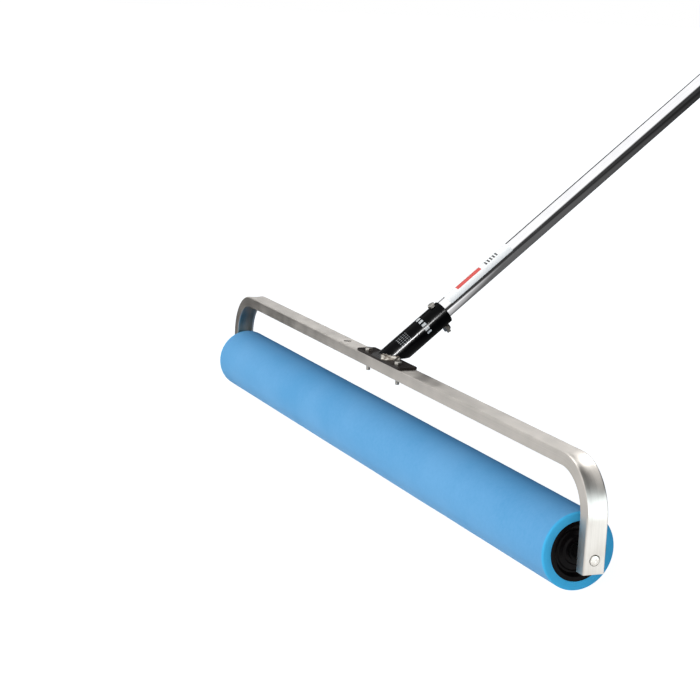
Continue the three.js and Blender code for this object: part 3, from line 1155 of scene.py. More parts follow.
@dataclass
class FoamSleeve:
    """The thick foam tube, with soft ends and a hand-cut unevenness."""

    edge: float = 3.2 * MM
    rings: int = 230
    around: int = 144
    wobble: float = 0.35 * MM
    wobble_size: float = 70 * MM
    dimple: float = 0.10 * MM
    dimple_size: float = 9 * MM
    end_crown: float = 0.7 * MM
    end_skin: float = 0.4 * MM
    face_rings: int = 7

    def uneven(self, bm: BMesh, inner: float, outer: float, half: float) -> None:
        """Presses the skin in slightly, in broad waves and small dimples.

        Args:
            bm: The sleeve about its own Z, middle at zero.
            inner: The bore's radius.
            outer: The skin's radius.
            half: Half the length.
        """
        for vert in bm.verts:
            radius = math.hypot(vert.co.x, vert.co.y)
            share = (radius - inner) / (outer - inner)
            if share < 0.05:
                continue
            broad = noise.noise(vert.co / self.wobble_size)
            small = noise.noise(vert.co / self.dimple_size + Vector((7.3, 1.9, 4.4)))
            press = self.wobble * (0.5 - 0.5 * broad) + self.dimple * (0.5 - 0.5 * small)
            vert.co.x -= vert.co.x / radius * press * share
            vert.co.y -= vert.co.y / radius * press * share
            at_end = max(0.0, 1.0 - (half - abs(vert.co.z)) / self.end_skin)
            if at_end > 0.0:
                crown = self.end_crown * math.sin(math.pi * min(share, 1.0)) * (0.7 + 0.3 * small)
                vert.co.z += math.copysign(crown * at_end, vert.co.z)

    def build(self) -> Object:
        """Returns:
            The sleeve.
        """
        size = node_size("sponge_sleeve")
        outer, half = size.y / 2, size.x / 2
        inner = node_size("core_tube").y / 2 + 0.1 * MM
        rows = [(outer, -half + 2 * half * step / self.rings) for step in range(1, self.rings)]
        across = self.face_rings
        face = [inner + (outer - inner) * step / across for step in range(across + 1)]
        low_face = [(radius, -half) for radius in face]
        high_face = [(radius, half) for radius in reversed(face)]
        bm = bmesh.new()
        points = (Vector((r, 0.0, h)) for r, h in [*low_face, *rows, *high_face])
        draw_line(bm, points, closed=True)
        rims = [
            vert for vert in bm.verts
            if math.isclose(vert.co.x, outer) and math.isclose(abs(vert.co.z), half)
        ]
        bevel(bm, rims, self.edge, 6)
        Turned("foam_sleeve", (), segments=self.around).spun(bm)
        self.uneven(bm, inner, outer, half)
        place = placed(node_centre("sponge_sleeve"), X_AXIS)
        bmesh.ops.transform(bm, matrix=place, verts=bm.verts)
        sleeve = fit_out(
            to_object(bm, "foam_sleeve", 50.0), BLUE_FOAM, ROLLER_BODY, "sponge_sleeve"
        )
        return sleeve


@dataclass
class RollerEnd:
    """A cap pressed into the core, with its bush."""

    side: Side
    rim_width: float = 4.8 * MM
    rim_thickness: float = 2.5 * MM
    dish_depth: float = 5.0 * MM
    step_radius: float = 19.5 * MM
    step_height: float = 1.1 * MM
    hub_radius: float = 13.0 * MM
    hub_length: float = 12.0 * MM
    hub_sink: float = 2.0 * MM
    floor_thickness: float = 3.0 * MM
    plug_step: float = 3.9 * MM
    plug_wall: float = 3.0 * MM
    bush_wall: float = 1.9 * MM
    flange: float = 2.0 * MM
    collar_step: float = 3.4 * MM
    lead_in: float = 0.5 * MM
    stand: float = 0.1 * MM
    soften: float = 0.5 * MM

    def cap(self) -> Object:
        """The dished cap: rim, sloping wall, stepped floor and hub.

        Returns:
            The piece.
        """
        word = self.side.word
        size = node_size(f"end_cap_{word}")
        rim = size.y / 2
        plug, dish = rim - self.plug_step, rim - self.rim_width
        bore = node_size(f"bush_{word}").y / 2 - self.bush_wall
        floor = -self.dish_depth
        back, step = floor - self.floor_thickness, floor + self.step_height
        profile = [
            (bore, back - self.hub_length), (self.hub_radius - 3 * MM, back - self.hub_length),
            (self.hub_radius - 2 * MM, back), (plug - self.plug_wall, back),
            (plug - self.plug_wall, -size.x), (plug, -size.x), (plug, -self.rim_thickness),
            (rim, -self.rim_thickness), (rim, 0.0), (dish, 0.0),
            (dish - 2.4 * MM, floor), (self.step_radius + 1.2 * MM, floor),
            (self.step_radius, step), (self.hub_radius + 1.6 * MM, step),
            (self.hub_radius, -self.hub_sink), (bore, -self.hub_sink),
        ]
        turned = Turned(f"cap_{word}", profile, ring=True, soften=self.soften)
        place = end_place(self.side, "sponge_sleeve")
        return fit_out(turned.build(place), BLACK_PLASTIC, ROLLER_BODY, f"end_cap_{word}")

    def bush(self) -> Object:
        """The flanged bush, with a lead-in at its bore.

        Returns:
            The piece.
        """
        word = self.side.word
        size = node_size(f"bush_{word}")
        flange, body = size.y / 2, size.y / 2 - self.flange
        bore = node_size(f"axle_pin_{word}").y / 2 - self.collar_step
        top, seat = self.stand, self.stand - self.flange
        profile = [
            (bore, top - size.x), (body, top - size.x), (body, seat), (flange, seat),
            (flange, top), (bore + self.lead_in, top), (bore, top - self.lead_in),
        ]
        turned = Turned(f"nylon_bush_{word}", profile, ring=True, soften=0.3 * MM, segments=64)
        place = end_place(self.side, "sponge_sleeve")
        return fit_out(turned.build(place), BLACK_NYLON, ROLLER_BODY, f"bush_{word}")

    def build(self) -> list[Object]:
        """Both of the end's pieces."""
        return [self.cap(), self.bush()]


@dataclass
class CorePipe:
    """The stiff pipe inside the foam."""

    wall: float = 3.9 * MM

    def build(self) -> Object:
        """A plain pipe with broken edges.

        Returns:
            The pipe.
        """
        size = node_size("core_tube")
        outer, half = size.y / 2, size.x / 2
        profile = tube_profile(outer - self.wall, outer, -half, half)
        turned = Turned("core_pipe", profile, ring=True, soften=0.4 * MM)
        place = placed(node_centre("core_tube"), X_AXIS)
        return fit_out(turned.build(place), PIPE_PLASTIC, ROLLER_BODY, "core_tube")


# ---- Axle line ----


@dataclass
class AxleEnd:
    """The stub pin in one leg, with its washer and spacer."""

    side: Side
    wall: float = 2.5 * MM
    standout: float = 1.4 * MM
    dome: float = 0.5 * MM
    collar_thickness: float = 3.0 * MM
    pin_radius: float = 5.2 * MM
    journal_radius: float = 4.8 * MM
    bore_gap: float = 0.3 * MM

    def pin(self) -> Object:
        """The shouldered pin, with a domed and centre-drilled outer end.

        Returns:
            The piece.
        """
        node = f"axle_pin_{self.side.word}"
        size = node_size(node)
        collar, journal = size.y / 2, self.journal_radius
        tip = self.standout - size.x
        top = -self.wall - 0.1 * MM
        under = top - self.collar_thickness
        dome = [
            (self.pin_radius * share, self.standout - self.dome * share * share)
            for share in (0.85, 0.65, 0.45, 0.25)
        ]
        profile = [
            (0.0, tip), (journal - 1.0 * MM, tip), (journal, tip + 1.0 * MM), (journal, under),
            (collar, under), (collar, top), (self.pin_radius, top),
            (self.pin_radius, self.standout - 1.1 * MM), *dome,
            (0.12 * self.pin_radius, self.standout - 0.1 * MM), (0.0, self.standout - 0.5 * MM),
        ]
        turned = Turned(f"stub_pin_{self.side.word}", profile, soften=0.12 * MM, segments=64)
        place = end_place(self.side, "frame_channel")
        return fit_out(turned.build(place), PLATED_STEEL, FRAME_BODY, node)

    def ring(self, node: str, name: str, finish: Finish, soften: float) -> Object:
        """A plain ring on the journal, sized by its node.

        Args:
            node: The frame node that it stands for.
            name: The new piece's name.
            finish: What it is made of.
            soften: How far its edges are rounded.

        Returns:
            The ring.
        """
        size = node_size(node)
        bore = self.journal_radius + self.bore_gap
        profile = tube_profile(bore, size.y / 2, -size.x / 2, size.x / 2)
        turned = Turned(name, profile, ring=True, soften=soften, segments=64)
        place = placed(node_centre(node), X_AXIS)
        return fit_out(turned.build(place), finish, FRAME_BODY, node)

    def build(self) -> list[Object]:
        """The pin, the washer and the spacer.

        Returns:
            The three pieces.
        """
        word = self.side.word
        return [
            self.pin(),
            self.ring(f"axle_washer_{word}", f"flat_washer_{word}", PLATED_STEEL, 0.2 * MM),
            self.ring(f"axle_spacer_{word}", f"spacer_tube_{word}", BLACK_NYLON, 0.4 * MM),
        ]


# ---- Frame ----


@dataclass
class ChannelFrame:
    """The bent U-channel over the roller, with its drilled holes."""

    wall: float = 2.5 * MM
    bend_radius: float = 55 * MM
    flange_depth: float = 13.2 * MM
    corner: float = 1.3 * MM
    lip: float = 0.5 * MM
    bend_steps: int = 28
    web_strips: int = 10
    dish: float = 1.1 * MM
    dish_ease: float = 0.15
    straight_pieces: int = 12
    pin_hole: float = 11.4 * MM
    bolt_hole: float = 5.8 * MM
    spare_hole: float = 9.6 * MM
    spare_hole_x: float = -116.5 * MM
    low: Vector = field(default_factory=lambda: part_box("frame_channel")[0])
    high: Vector = field(default_factory=lambda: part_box("frame_channel")[1])

    @property
    def middle_y(self) -> float:
        """The channel's middle plane."""
        return (self.low.y + self.high.y) / 2

    @property
    def half_width(self) -> float:
        """Half the width of the web."""
        return (self.high.y - self.low.y) / 2

    @property
    def bend_x(self) -> float:
        """How far out from the middle the bends start."""
        return self.high.x - self.bend_radius

    @property
    def bend_z(self) -> float:
        """The height at which the legs start."""
        return self.high.z - self.bend_radius

    def section(self, bm: BMesh) -> None:
        """Draws the rounded U-section in the middle plane, open side down.

        Args:
            bm: The mesh to work on.
        """
        half, top, mid = self.half_width, self.high.z, self.middle_y
        lip = top - self.flange_depth
        inner = half - self.wall

        def strip(reach: float, height: float) -> list[Vector]:
            """Points across the web, so that it can be dished.

            Args:
                reach: How far it runs each way from the middle.
                height: How high it lies.

            Returns:
                The points, front to back.
            """
            flat = reach - self.corner - 0.4 * MM
            steps = range(self.web_strips + 1)
            spots = [-flat + 2 * flat * step / self.web_strips for step in steps]
            return [Vector((0.0, mid + spot, height)) for spot in [-reach, *spots, reach]]

        outside = strip(half, top)
        inside = strip(inner, top - self.wall)[::-1]
        lips = [Vector((0.0, mid + spot, lip)) for spot in (half, inner, -inner, -half)]
        draw_line(bm, [*outside, *lips[:2], *inside, *lips[2:]], closed=True)
        self.round_off(bm, [outside[0], outside[-1]], self.corner)
        self.round_off(bm, [inside[0], inside[-1], *lips], self.lip)

    def round_off(self, bm: BMesh, corners: Sequence[Vector], radius: float) -> None:
        """Rounds the section's corners at the given points."""
        found = [v for v in bm.verts if any((v.co - spot).length < 1e-6 for spot in corners)]
        bevel(bm, found, radius, 5)

    def place_on_strip(self, point: Vector) -> tuple[float, float]:
        """How far along the strip a point lies, and how deep below its outer face.

        Args:
            point: A point of the piece.

        Returns:
            The distance from the middle, and the depth.
        """
        x, z = abs(point.x), point.z
        if x <= self.bend_x and z >= self.bend_z:
            return x, self.high.z - z
        if z >= self.bend_z:
            angle = math.atan2(x - self.bend_x, z - self.bend_z)
            reach = math.hypot(x - self.bend_x, z - self.bend_z)
            return self.bend_x + self.bend_radius * angle, self.bend_radius - reach
        quarter = self.bend_radius * math.pi / 2
        return self.bend_x + quarter + self.bend_z - z, self.high.x - x

    def pattern_place(self, point: Vector) -> tuple[float, float]:
        """Map coordinates that follow the strip round its bends and its flanges.

        Args:
            point: A point of the piece.

        Returns:
            The two coordinates, in metres.
        """
        along, depth = self.place_on_strip(point)
        across = point.y - self.middle_y
        return math.copysign(along, point.x), across * (1.0 + depth / self.half_width)

    def dish_bends(self, bm: BMesh) -> None:
        """Sinks the web a little where it was bent, as drawn channel does.

        Args:
            bm: The mesh to work on.
        """
        quarter = math.pi / 2
        ease = self.dish_ease
        for vert in bm.verts:
            from_bend = Vector((vert.co.x - self.bend_x, 0.0, vert.co.z - self.bend_z))
            angle = math.atan2(from_bend.x, from_bend.z)
            depth = self.bend_radius - from_bend.length
            if not (-ease < angle < quarter + ease) or depth > self.wall + 0.2 * MM:
                continue
            share = (vert.co.y - self.middle_y) / (self.half_width - self.wall)
            swell = max(0.0, 1.0 - share * share)
            bow = math.sin(math.pi * min(max((angle + ease) / (quarter + 2 * ease), 0.0), 1.0))
            vert.co -= from_bend.normalized() * self.dish * swell * bow

    def build(self) -> Object:
        """Extrudes, bends, mirrors and drills the channel.

        Returns:
            The channel.
        """
        bm = bmesh.new()
        self.section(bm)
        centre = Vector((self.bend_x, 0.0, self.bend_z))

        def run_on(edges: list[BMEdge], way: Vector) -> list[BMEdge]:
            """Extrudes the open end by a vector and returns the new end.

            Args:
                edges: The open end.
                way: How far it is carried.

            Returns:
                The edges of the new end.
            """
            made = bmesh.ops.extrude_edge_only(bm, edges=edges)["geom"]
            bmesh.ops.translate(bm, vec=way, verts=only(BMVert, made))
            return only(BMEdge, made)

        end = bm.edges[:]
        for _ in range(self.straight_pieces):
            end = run_on(end, X_AXIS * self.bend_x / self.straight_pieces)
        ends = {vert for edge in end for vert in edge.verts}
        end = spin(bm, [*ends, *end], centre, Y_AXIS, math.pi / 2, self.bend_steps, False)
        end = run_on(end, Z_AXIS * (self.low.z - self.bend_z))
        bmesh.ops.edgeloop_fill(bm, edges=end)
        self.dish_bends(bm)
        bmesh.ops.mirror(bm, geom=whole(bm), axis="X", merge_dist=0.01 * MM)
        tidy_normals(bm)
        channel = to_object(bm, "bent_channel", 40.0)
        self.drill(channel)
        write_uv(channel, self.pattern_place)
        even_shading(channel)
        return fit_out(channel, MILL_ALUMINIUM, FRAME_BODY, "frame_channel")

    def drill(self, channel: Object) -> None:
        """Drills the pin holes, the two bracket holes and the spare hole.

        Args:
            channel: The piece to drill.
        """
        top, holes = self.high.z, []
        for side in Side:
            pin = node_centre(f"axle_pin_{side.word}")
            at_leg = Vector((side.value * self.high.x, pin.y, pin.z))
            holes.append((at_leg, X_AXIS, self.pin_hole))
            bolt = node_centre(f"plate_bolt_{side.word}")
            holes.append((Vector((bolt.x, bolt.y, top)), Z_AXIS, self.bolt_hole))
        spare = Vector((self.spare_hole_x, self.middle_y, top))
        for place, way, width in [*holes, (spare, Z_AXIS, self.spare_hole)]:
            drill(channel, place, way, width, 1.5 * self.flange_depth)


# ---- Fasteners ----


@dataclass(frozen=True)
class BoltLine:
    """One bolt and what it clamps: the head's seat, the way it points and its reach."""

    nodes: tuple[str, str, str]
    names: tuple[str, str, str]
    seat: Vector
    axis: Vector
    shank: float
    washer_below: float
    nut_below: float


@dataclass
class HexHardware:
    """Hex bolts, split washers and nuts of one size."""

    across_flats: float = 8 * MM
    thread: float = 5 * MM
    pitch: float = 0.8 * MM
    thread_depth: float = 0.32 * MM
    thread_length: float = 16 * MM
    head_height: float = 3.5 * MM
    nut_height: float = 5 * MM
    chamfer_radius: float = 3.75 * MM
    chamfer_slope: float = math.tan(math.radians(30.0))
    washer_radius: float = 4.4 * MM
    washer_bore: float = 2.6 * MM
    washer_thickness: float = 1.2 * MM
    washer_gap_degrees: float = 14.0

    def prism(self, low: float, high: float) -> BMesh:
        """A hexagonal bar about Z between two heights.

        Args:
            low: The low end.
            high: The high end.

        Returns:
            The bar's mesh.
        """
        bm = bmesh.new()
        corner = self.across_flats / math.sqrt(3.0)
        bmesh.ops.create_cone(
            bm, cap_ends=True, segments=6, radius1=corner, radius2=corner,
            depth=high - low, matrix=Matrix.Translation((0.0, 0.0, (low + high) / 2)),
        )
        return bm

    def chamfer(self, piece: Object, height: float, way: float) -> None:
        """Turns the corners off one end of a hexagonal piece.

        Args:
            piece: The piece, about its own Z.
            height: Where its end face is.
            way: 1 when the end face looks up and -1 when it looks down.
        """
        reach = self.across_flats
        fall = (reach - self.chamfer_radius) * self.chamfer_slope
        over = 0.5 * MM
        profile = [
            (self.chamfer_radius - over / self.chamfer_slope, height + way * over),
            (reach, height + way * over), (reach, height - way * fall),
        ]
        cut_with(piece, Turned("chamfer", profile, ring=True, segments=72).mesh(Matrix()))

    def shank_mesh(self, length: float) -> BMesh:
        """The shank under the head, with ridges where it is threaded.

        Args:
            length: How far the shank reaches.

        Returns:
            The shank's mesh, its seat at zero.
        """
        radius = self.thread / 2
        root = radius - self.thread_depth
        turns = int(min(self.thread_length, length - 2 * MM) / self.pitch)
        top = 0.3 * MM
        profile = [(0.0, -length), (root, -length)]
        for turn in range(turns):
            start = -length + turn * self.pitch
            ridge = ((radius, 0.4), (radius, 0.55), (root, 0.95))
            profile += [(reach, start + share * self.pitch) for reach, share in ridge]
        profile += [(radius, -length + (turns + 0.6) * self.pitch), (radius, top), (0.0, top)]
        return Turned("shank", profile, segments=40).mesh(Matrix())

    def bolt(self, line: BoltLine) -> Object:
        """The bolt: a chamfered head standing on its seat, and the shank.

        Args:
            line: The bolt and what it clamps.

        Returns:
            The piece.
        """
        head = to_object(self.prism(0.0, self.head_height), line.names[0], 20.0)
        self.chamfer(head, self.head_height, 1.0)
        bm = self.shank_mesh(line.shank)
        bm.from_mesh(head.data)
        bpy.data.objects.remove(head)
        bmesh.ops.transform(bm, matrix=placed(line.seat, line.axis), verts=bm.verts)
        return fit_out(to_object(bm, line.names[0], 20.0), PLATED_STEEL, FRAME_BODY, line.nodes[0])

    def washer(self, line: BoltLine) -> Object:
        """A split spring washer: a square bar wound once, its ends a little apart.

        Args:
            line: The bolt and what it clamps.

        Returns:
            The piece.
        """
        profile = tube_profile(self.washer_bore, self.washer_radius, -self.washer_thickness, 0.0)
        turn = math.radians(360.0 - self.washer_gap_degrees)
        turned = Turned(line.names[1], profile, ring=True, segments=52, turn=turn)
        bm = turned.mesh(placed(line.seat - line.axis * line.washer_below, line.axis))
        return fit_out(to_object(bm, line.names[1]), SHADED_DULL_STEEL, FRAME_BODY, line.nodes[1])

    def nut(self, line: BoltLine) -> Object:
        """The nut, chamfered at both ends, with a countersunk bore.

        Args:
            line: The bolt and what it clamps.

        Returns:
            The piece.
        """
        nut = to_object(self.prism(-self.nut_height, 0.0), line.names[2], 20.0)
        self.chamfer(nut, 0.0, 1.0)
        self.chamfer(nut, -self.nut_height, -1.0)
        bore = self.thread / 2 + 0.1 * MM
        flare, over = 0.45 * MM, 0.5 * MM
        wide, bottom = bore + flare + over, -self.nut_height
        profile = [
            (0.0, over), (wide, over), (bore, -flare), (bore, flare + bottom),
            (wide, bottom - over), (0.0, bottom - over),
        ]
        cut_with(nut, Turned("bore", profile, segments=40).mesh(Matrix()))
        place = placed(line.seat - line.axis * line.nut_below, line.axis)
        nut.data.transform(place)
        return fit_out(nut, SHADED_DULL_STEEL, FRAME_BODY, line.nodes[2])

    def build(self, line: BoltLine) -> list[Object]:
        """The bolt, the washer and the nut of one line."""
        return [self.bolt(line), self.washer(line), self.nut(line)]


# ---- Bracket ----


@dataclass
class Bracket:
    """The bolted plate, the leaning socket and the weld between them."""

    socket_axis: HandleAxis
    hardware: HexHardware
    plate_corner: float = 3.0 * MM
    plate_edge: float = 0.5 * MM
    bolt_hole: float = 5.8 * MM
    socket_bore: float = 13.1 * MM
    mouth_round: float = 0.7 * MM
    seat_gap: float = 0.1 * MM
    print_angle: float = math.radians(24.0)
    ripples: float = 4.0
    ripple_depth: float = 0.6 * MM
    lump: float = 0.9 * MM
    lump_size: float = 8.0 * MM
    bead_steps: int = 14
    ripple_sweep: float = 260.0

    def plate(self) -> Object:
        """The flat plate: an outline with rounded corners, given its thickness.

        Returns:
            The piece.
        """
        low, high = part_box("bracket_plate")
        bm = bmesh.new()
        corners = [(low.x, low.y), (high.x, low.y), (high.x, high.y), (low.x, high.y)]
        draw_line(bm, (Vector((x, y, low.z)) for x, y in corners), closed=True)
        soften_corners(bm, self.plate_corner, 6)
        bmesh.ops.contextual_create(bm, geom=bm.edges[:])
        made = bmesh.ops.extrude_face_region(bm, geom=bm.faces[:])["geom"]
        thickness = high.z - low.z
        bmesh.ops.translate(bm, vec=Z_AXIS * thickness, verts=only(BMVert, made))
        bmesh.ops.recalc_face_normals(bm, faces=bm.faces)
        rims = [edge for edge in bm.edges if abs(edge.verts[0].co.z - edge.verts[1].co.z) < 1e-7]
        bevel(bm, rims, self.plate_edge, 3, "EDGES")
        tidy_normals(bm)
        plate = to_object(bm, "mounting_plate", 40.0)
        for side in Side:
            bolt = node_centre(f"plate_bolt_{side.word}")
            drill(plate, Vector((bolt.x, bolt.y, high.z)), Z_AXIS, self.bolt_hole, 3 * thickness)
        even_shading(plate)
        return fit_out(plate, BROWN_ENAMEL, FRAME_BODY, "bracket_plate")

    def socket(self) -> Object:
        """The socket tube, sawn to stand on the plate and squared at the front.

        Returns:
            The piece.
        """
        low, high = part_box("handle_socket")
        radius = (high.x - low.x) / 2
        axis = self.socket_axis
        mouth = (high.z - radius * axis.front.z - axis.start.z) / axis.direction.z
        profile = tube_profile(self.socket_bore, radius, -4.0 * radius, mouth)
        socket = Turned("pole_socket", profile, ring=True, soften=self.mouth_round, segments=128)
        tube = socket.build(axis.place)
        far = Vector((1.0, 1.0, 1.0)) * 8 * radius
        middle = node_centre("handle_socket")
        cut_with(tube, box_tool(middle - far, Vector((*(middle + far).xy, low.z))))
        cut_with(tube, box_tool(middle - far, Vector((middle.x + far.x, low.y, middle.z + far.z))))
        crossing = axis.at(axis.distance_to(node_centre("cross_lock_washer")))
        drill(tube, crossing, axis.front, self.bolt_hole, 2 * radius)
        foot = axis.distance_to(Vector((axis.middle.x, low.y, low.z)))
        rule = replace(axis, radius=radius).round_map(self.print_angle, foot)
        write_uv(tube, rule, math.tau * radius)
        return fit_out(tube, PRINTED_ENAMEL, FRAME_BODY, "handle_socket")

    def weld(self) -> Object:
        """The rippled bead round the socket's foot, closing its sawn front.

        Returns:
            The piece.
        """
        low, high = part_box("socket_weld")
        axis = self.socket_axis
        radius = node_size("handle_socket").x / 2
        lean = axis.direction.y / axis.direction.z
        foot = axis.middle + axis.direction * (low.z - axis.middle.z) / axis.direction.z
        height = high.z - low.z
        width = (high.x - low.x) / 2 - radius
        profile = [(0.0, 0.0), (radius + width, 0.0)]
        for step in range(1, self.bead_steps + 1):
            turn = math.pi / 2 * step / self.bead_steps
            out = radius + width * (1.35 * math.cos(turn) - 0.35)
            profile.append((out, height * math.sin(turn)))
        profile.append((0.0, height))
        bm = Turned("weld_bead", profile, segments=220).mesh(Matrix())
        for vert in bm.verts:
            angle = math.atan2(vert.co.y, vert.co.x)
            reach = math.hypot(vert.co.x, vert.co.y)
            if reach < 0.5 * radius or vert.co.z < 0.05 * MM:
                continue
            lumpy = noise.fractal(vert.co / self.lump_size, 0.8, 2.0, 4)
            swept = angle * self.ripples + self.ripple_sweep * (reach - radius) ** 2 / radius
            ripple = abs(math.sin(swept * math.pi))
            sink = self.lump * max(0.0, 0.5 - lumpy) + self.ripple_depth * (1.0 - ripple)
            vert.co.z -= min(sink, 0.8 * vert.co.z)
            vert.co -= Vector((vert.co.x, vert.co.y, 0.0)).normalized() * sink * 0.6
        stretch = 1.0 / axis.direction.z
        for vert in bm.verts:
            lift = vert.co.z
            vert.co = foot + Vector((vert.co.x, vert.co.y * stretch + lift * lean, lift))
        for point, normal in ((low, -Y_AXIS), (high, Y_AXIS)):
            cut = bmesh.ops.bisect_plane(
                bm, geom=whole(bm), dist=1e-6, plane_co=point, plane_no=normal, clear_outer=True,
            )["geom_cut"]
            bmesh.ops.edgeloop_fill(bm, edges=only(BMEdge, cut))
        tidy_normals(bm)
        return fit_out(to_object(bm, "weld_bead", 60.0), WELD, FRAME_BODY, "socket_weld")

    def plate_line(self, side: Side) -> BoltLine:
        """Where one of the plate's bolts stands.

        Args:
            side: The end of the roller.

        Returns:
            The bolt's line.
        """
        word = side.word
        bolt, washer, nut = f"plate_bolt_{word}", f"plate_lock_washer_{word}", f"plate_nut_{word}"
        middle = node_centre(bolt)
        seat_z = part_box("bracket_plate")[1].z + self.seat_gap
        return BoltLine(
            nodes=(bolt, washer, nut),
            names=(f"hex_bolt_{word}", f"spring_washer_{word}", f"hex_nut_{word}"),
            seat=Vector((middle.x, middle.y, seat_z)),
            axis=Z_AXIS,
            shank=seat_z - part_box(bolt)[0].z,
            washer_below=seat_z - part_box(washer)[1].z,
            nut_below=seat_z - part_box(nut)[1].z,
        )

    def cross_line(self) -> BoltLine:
        """Where the bolt through the socket and the pole stands.

        Returns:
            The bolt's line.
        """
        washer = node_centre("cross_lock_washer")
        centre = self.socket_axis.at(self.socket_axis.distance_to(washer))
        half = self.hardware.washer_thickness / 2
        seat = (washer - centre).length - half
        washer_below = 2 * seat
        nut_below = washer_below + self.hardware.washer_thickness + self.seat_gap
        standout = node_size("plate_nut_left").z + 3.5 * MM
        return BoltLine(
            nodes=("cross_bolt", "cross_lock_washer", "cross_nut"),
            names=("cross_hex_bolt", "cross_spring_washer", "cross_hex_nut"),
            seat=centre + self.socket_axis.front * seat,
            axis=self.socket_axis.front,
            shank=nut_below + standout - self.seat_gap,
            washer_below=washer_below,
            nut_below=nut_below,
        )

    def build(self) -> list[Object]:
        """All of the bracket's pieces.

        Returns:
            The pieces, with their bolts.
        """
        made = [self.plate(), self.socket(), self.weld()]
        for line in (self.plate_line(Side.LEFT), self.plate_line(Side.RIGHT), self.cross_line()):
            made += self.hardware.build(line)
        return made


# ---- Handle ----


@dataclass
class Handle:
    """The long pole, its printed wrap and its rubber grip."""

    axis: HandleAxis
    pole_wall: float = 1.6 * MM
    wrap_start: float = 76 * MM
    wrap_length: float = 98 * MM
    wrap_thickness: float = 0.10 * MM
    wrap_edge: float = math.radians(21.0)
    wrap_turn: float = math.radians(200.0)
    print_angle: float = math.radians(78.0)
    grip_length: float = 130 * MM
    grip_overhang: float = 20 * MM
    grip_rings: int = 5
    first_ring: float = 14 * MM
    ring_pitch: float = 17 * MM
    ring_width: float = 5 * MM
    ring_depth: float = 1.2 * MM
    ring_slope: float = 0.6 * MM
    shoulder: float = 4.0 * MM
    hang_hole: float = 3.5 * MM

    @property
    def girth(self) -> float:
        """The distance round the pole."""
        return math.tau * self.axis.radius

    def pole(self) -> Object:
        """The long tube.

        Returns:
            The piece.
        """
        radius = self.axis.radius
        profile = tube_profile(radius - self.pole_wall, radius, 0.0, self.axis.length)
        turned = Turned("long_pole", profile, ring=True, soften=0.3 * MM, segments=128)
        pole = turned.build(self.axis.place)
        write_uv(pole, self.axis.round_map(self.print_angle, 0.0), self.girth)
        return fit_out(pole, POLISHED_ALUMINIUM, FRAME_BODY, "pole_tube")

    def wrap(self) -> Object:
        """The thin printed wrap just above the socket.

        Returns:
            The piece.
        """
        radius, start = self.axis.radius, self.wrap_start
        turned = Turned(
            "printed_wrap",
            tube_profile(
                radius - 0.02 * MM, radius + self.wrap_thickness, start, start + self.wrap_length,
            ),
            ring=True, segments=80, start=-self.wrap_edge - self.wrap_turn, turn=self.wrap_turn,
        )
        wrap = turned.build(self.axis.place)
        write_uv(wrap, self.axis.round_map(self.print_angle, start), self.girth)
        return fit_out(wrap, WHITE_WRAP, FRAME_BODY)

    def grip(self) -> Object:
        """The ribbed rubber sleeve, closed at its end and pierced to hang.

        Returns:
            The piece.
        """
        tip = self.axis.length + self.grip_overhang
        start = tip - self.grip_length
        radius = node_size("hand_grip").x / 2
        bore = self.axis.radius + 0.1 * MM
        inner_end = self.axis.length + 0.1 * MM
        profile = [(0.0, inner_end), (bore, inner_end), (bore, start), (radius, start)]
        groove = radius - self.ring_depth
        for index in range(self.grip_rings):
            low = start + self.first_ring + index * self.ring_pitch
            high = low + self.ring_width
            profile += [
                (radius, low), (groove, low + self.ring_slope), (groove, high - self.ring_slope),
                (radius, high),
            ]
        shoulder = self.shoulder
        profile += [
            (radius, tip - shoulder), (radius - 0.3 * shoulder, tip - 0.3 * shoulder),
            (radius - shoulder, tip), (0.0, tip),
        ]
        turned = Turned("rubber_grip", profile, soften=0.45 * MM, segments=128)
        grip = turned.build(self.axis.place)
        hole = self.axis.at(tip - self.grip_overhang / 2)
        drill(grip, hole, X_AXIS, 2 * self.hang_hole, 2 * radius)
        return fit_out(grip, BLACK_RUBBER, FRAME_BODY, "hand_grip")

    def build(self) -> list[Object]:
        """The handle's three pieces."""
        return [self.pole(), self.wrap(), self.grip()]


# ---- Studio ----


@dataclass
class AreaLamp:
    """One soft box, aimed at a point."""

    name: str
    target: Vector
    way: Vector
    away: float
    size: Span
    power: float
    lights_only: tuple[str, ...]
    long_way: Vector = Z_AXIS
    only_shines: bool = True
    tint: Colour = (1.0, 1.0, 1.0)

    def build(self) -> Object:
        """Hangs the lamp, aims it, and turns its long side the given way.

        Returns:
            The lamp.
        """
        data = bpy.data.lights.new(self.name, "AREA")
        data.shape = "RECTANGLE"
        data.size, data.size_y = self.size
        data.energy = self.power
        data.color = self.tint
        lamp = bpy.data.objects.new(self.name, data)
        place = self.target + self.way * self.away
        back = (place - self.target).normalized()
        up = (self.long_way - back * self.long_way.dot(back)).normalized()
        axes = Matrix((up.cross(back), up, back)).transposed().to_4x4()
        lamp.matrix_world = Matrix.Translation(place) @ axes
        lamp.visible_camera = False
        lamp.visible_diffuse = not self.only_shines
        bpy.context.scene.collection.objects.link(lamp)
        lit = bpy.data.collections.new(self.name + "_lit")
        for name in self.lights_only:
            lit.objects.link(bpy.data.objects[name])
        lamp.light_linking.receiver_collection = lit
        return lamp


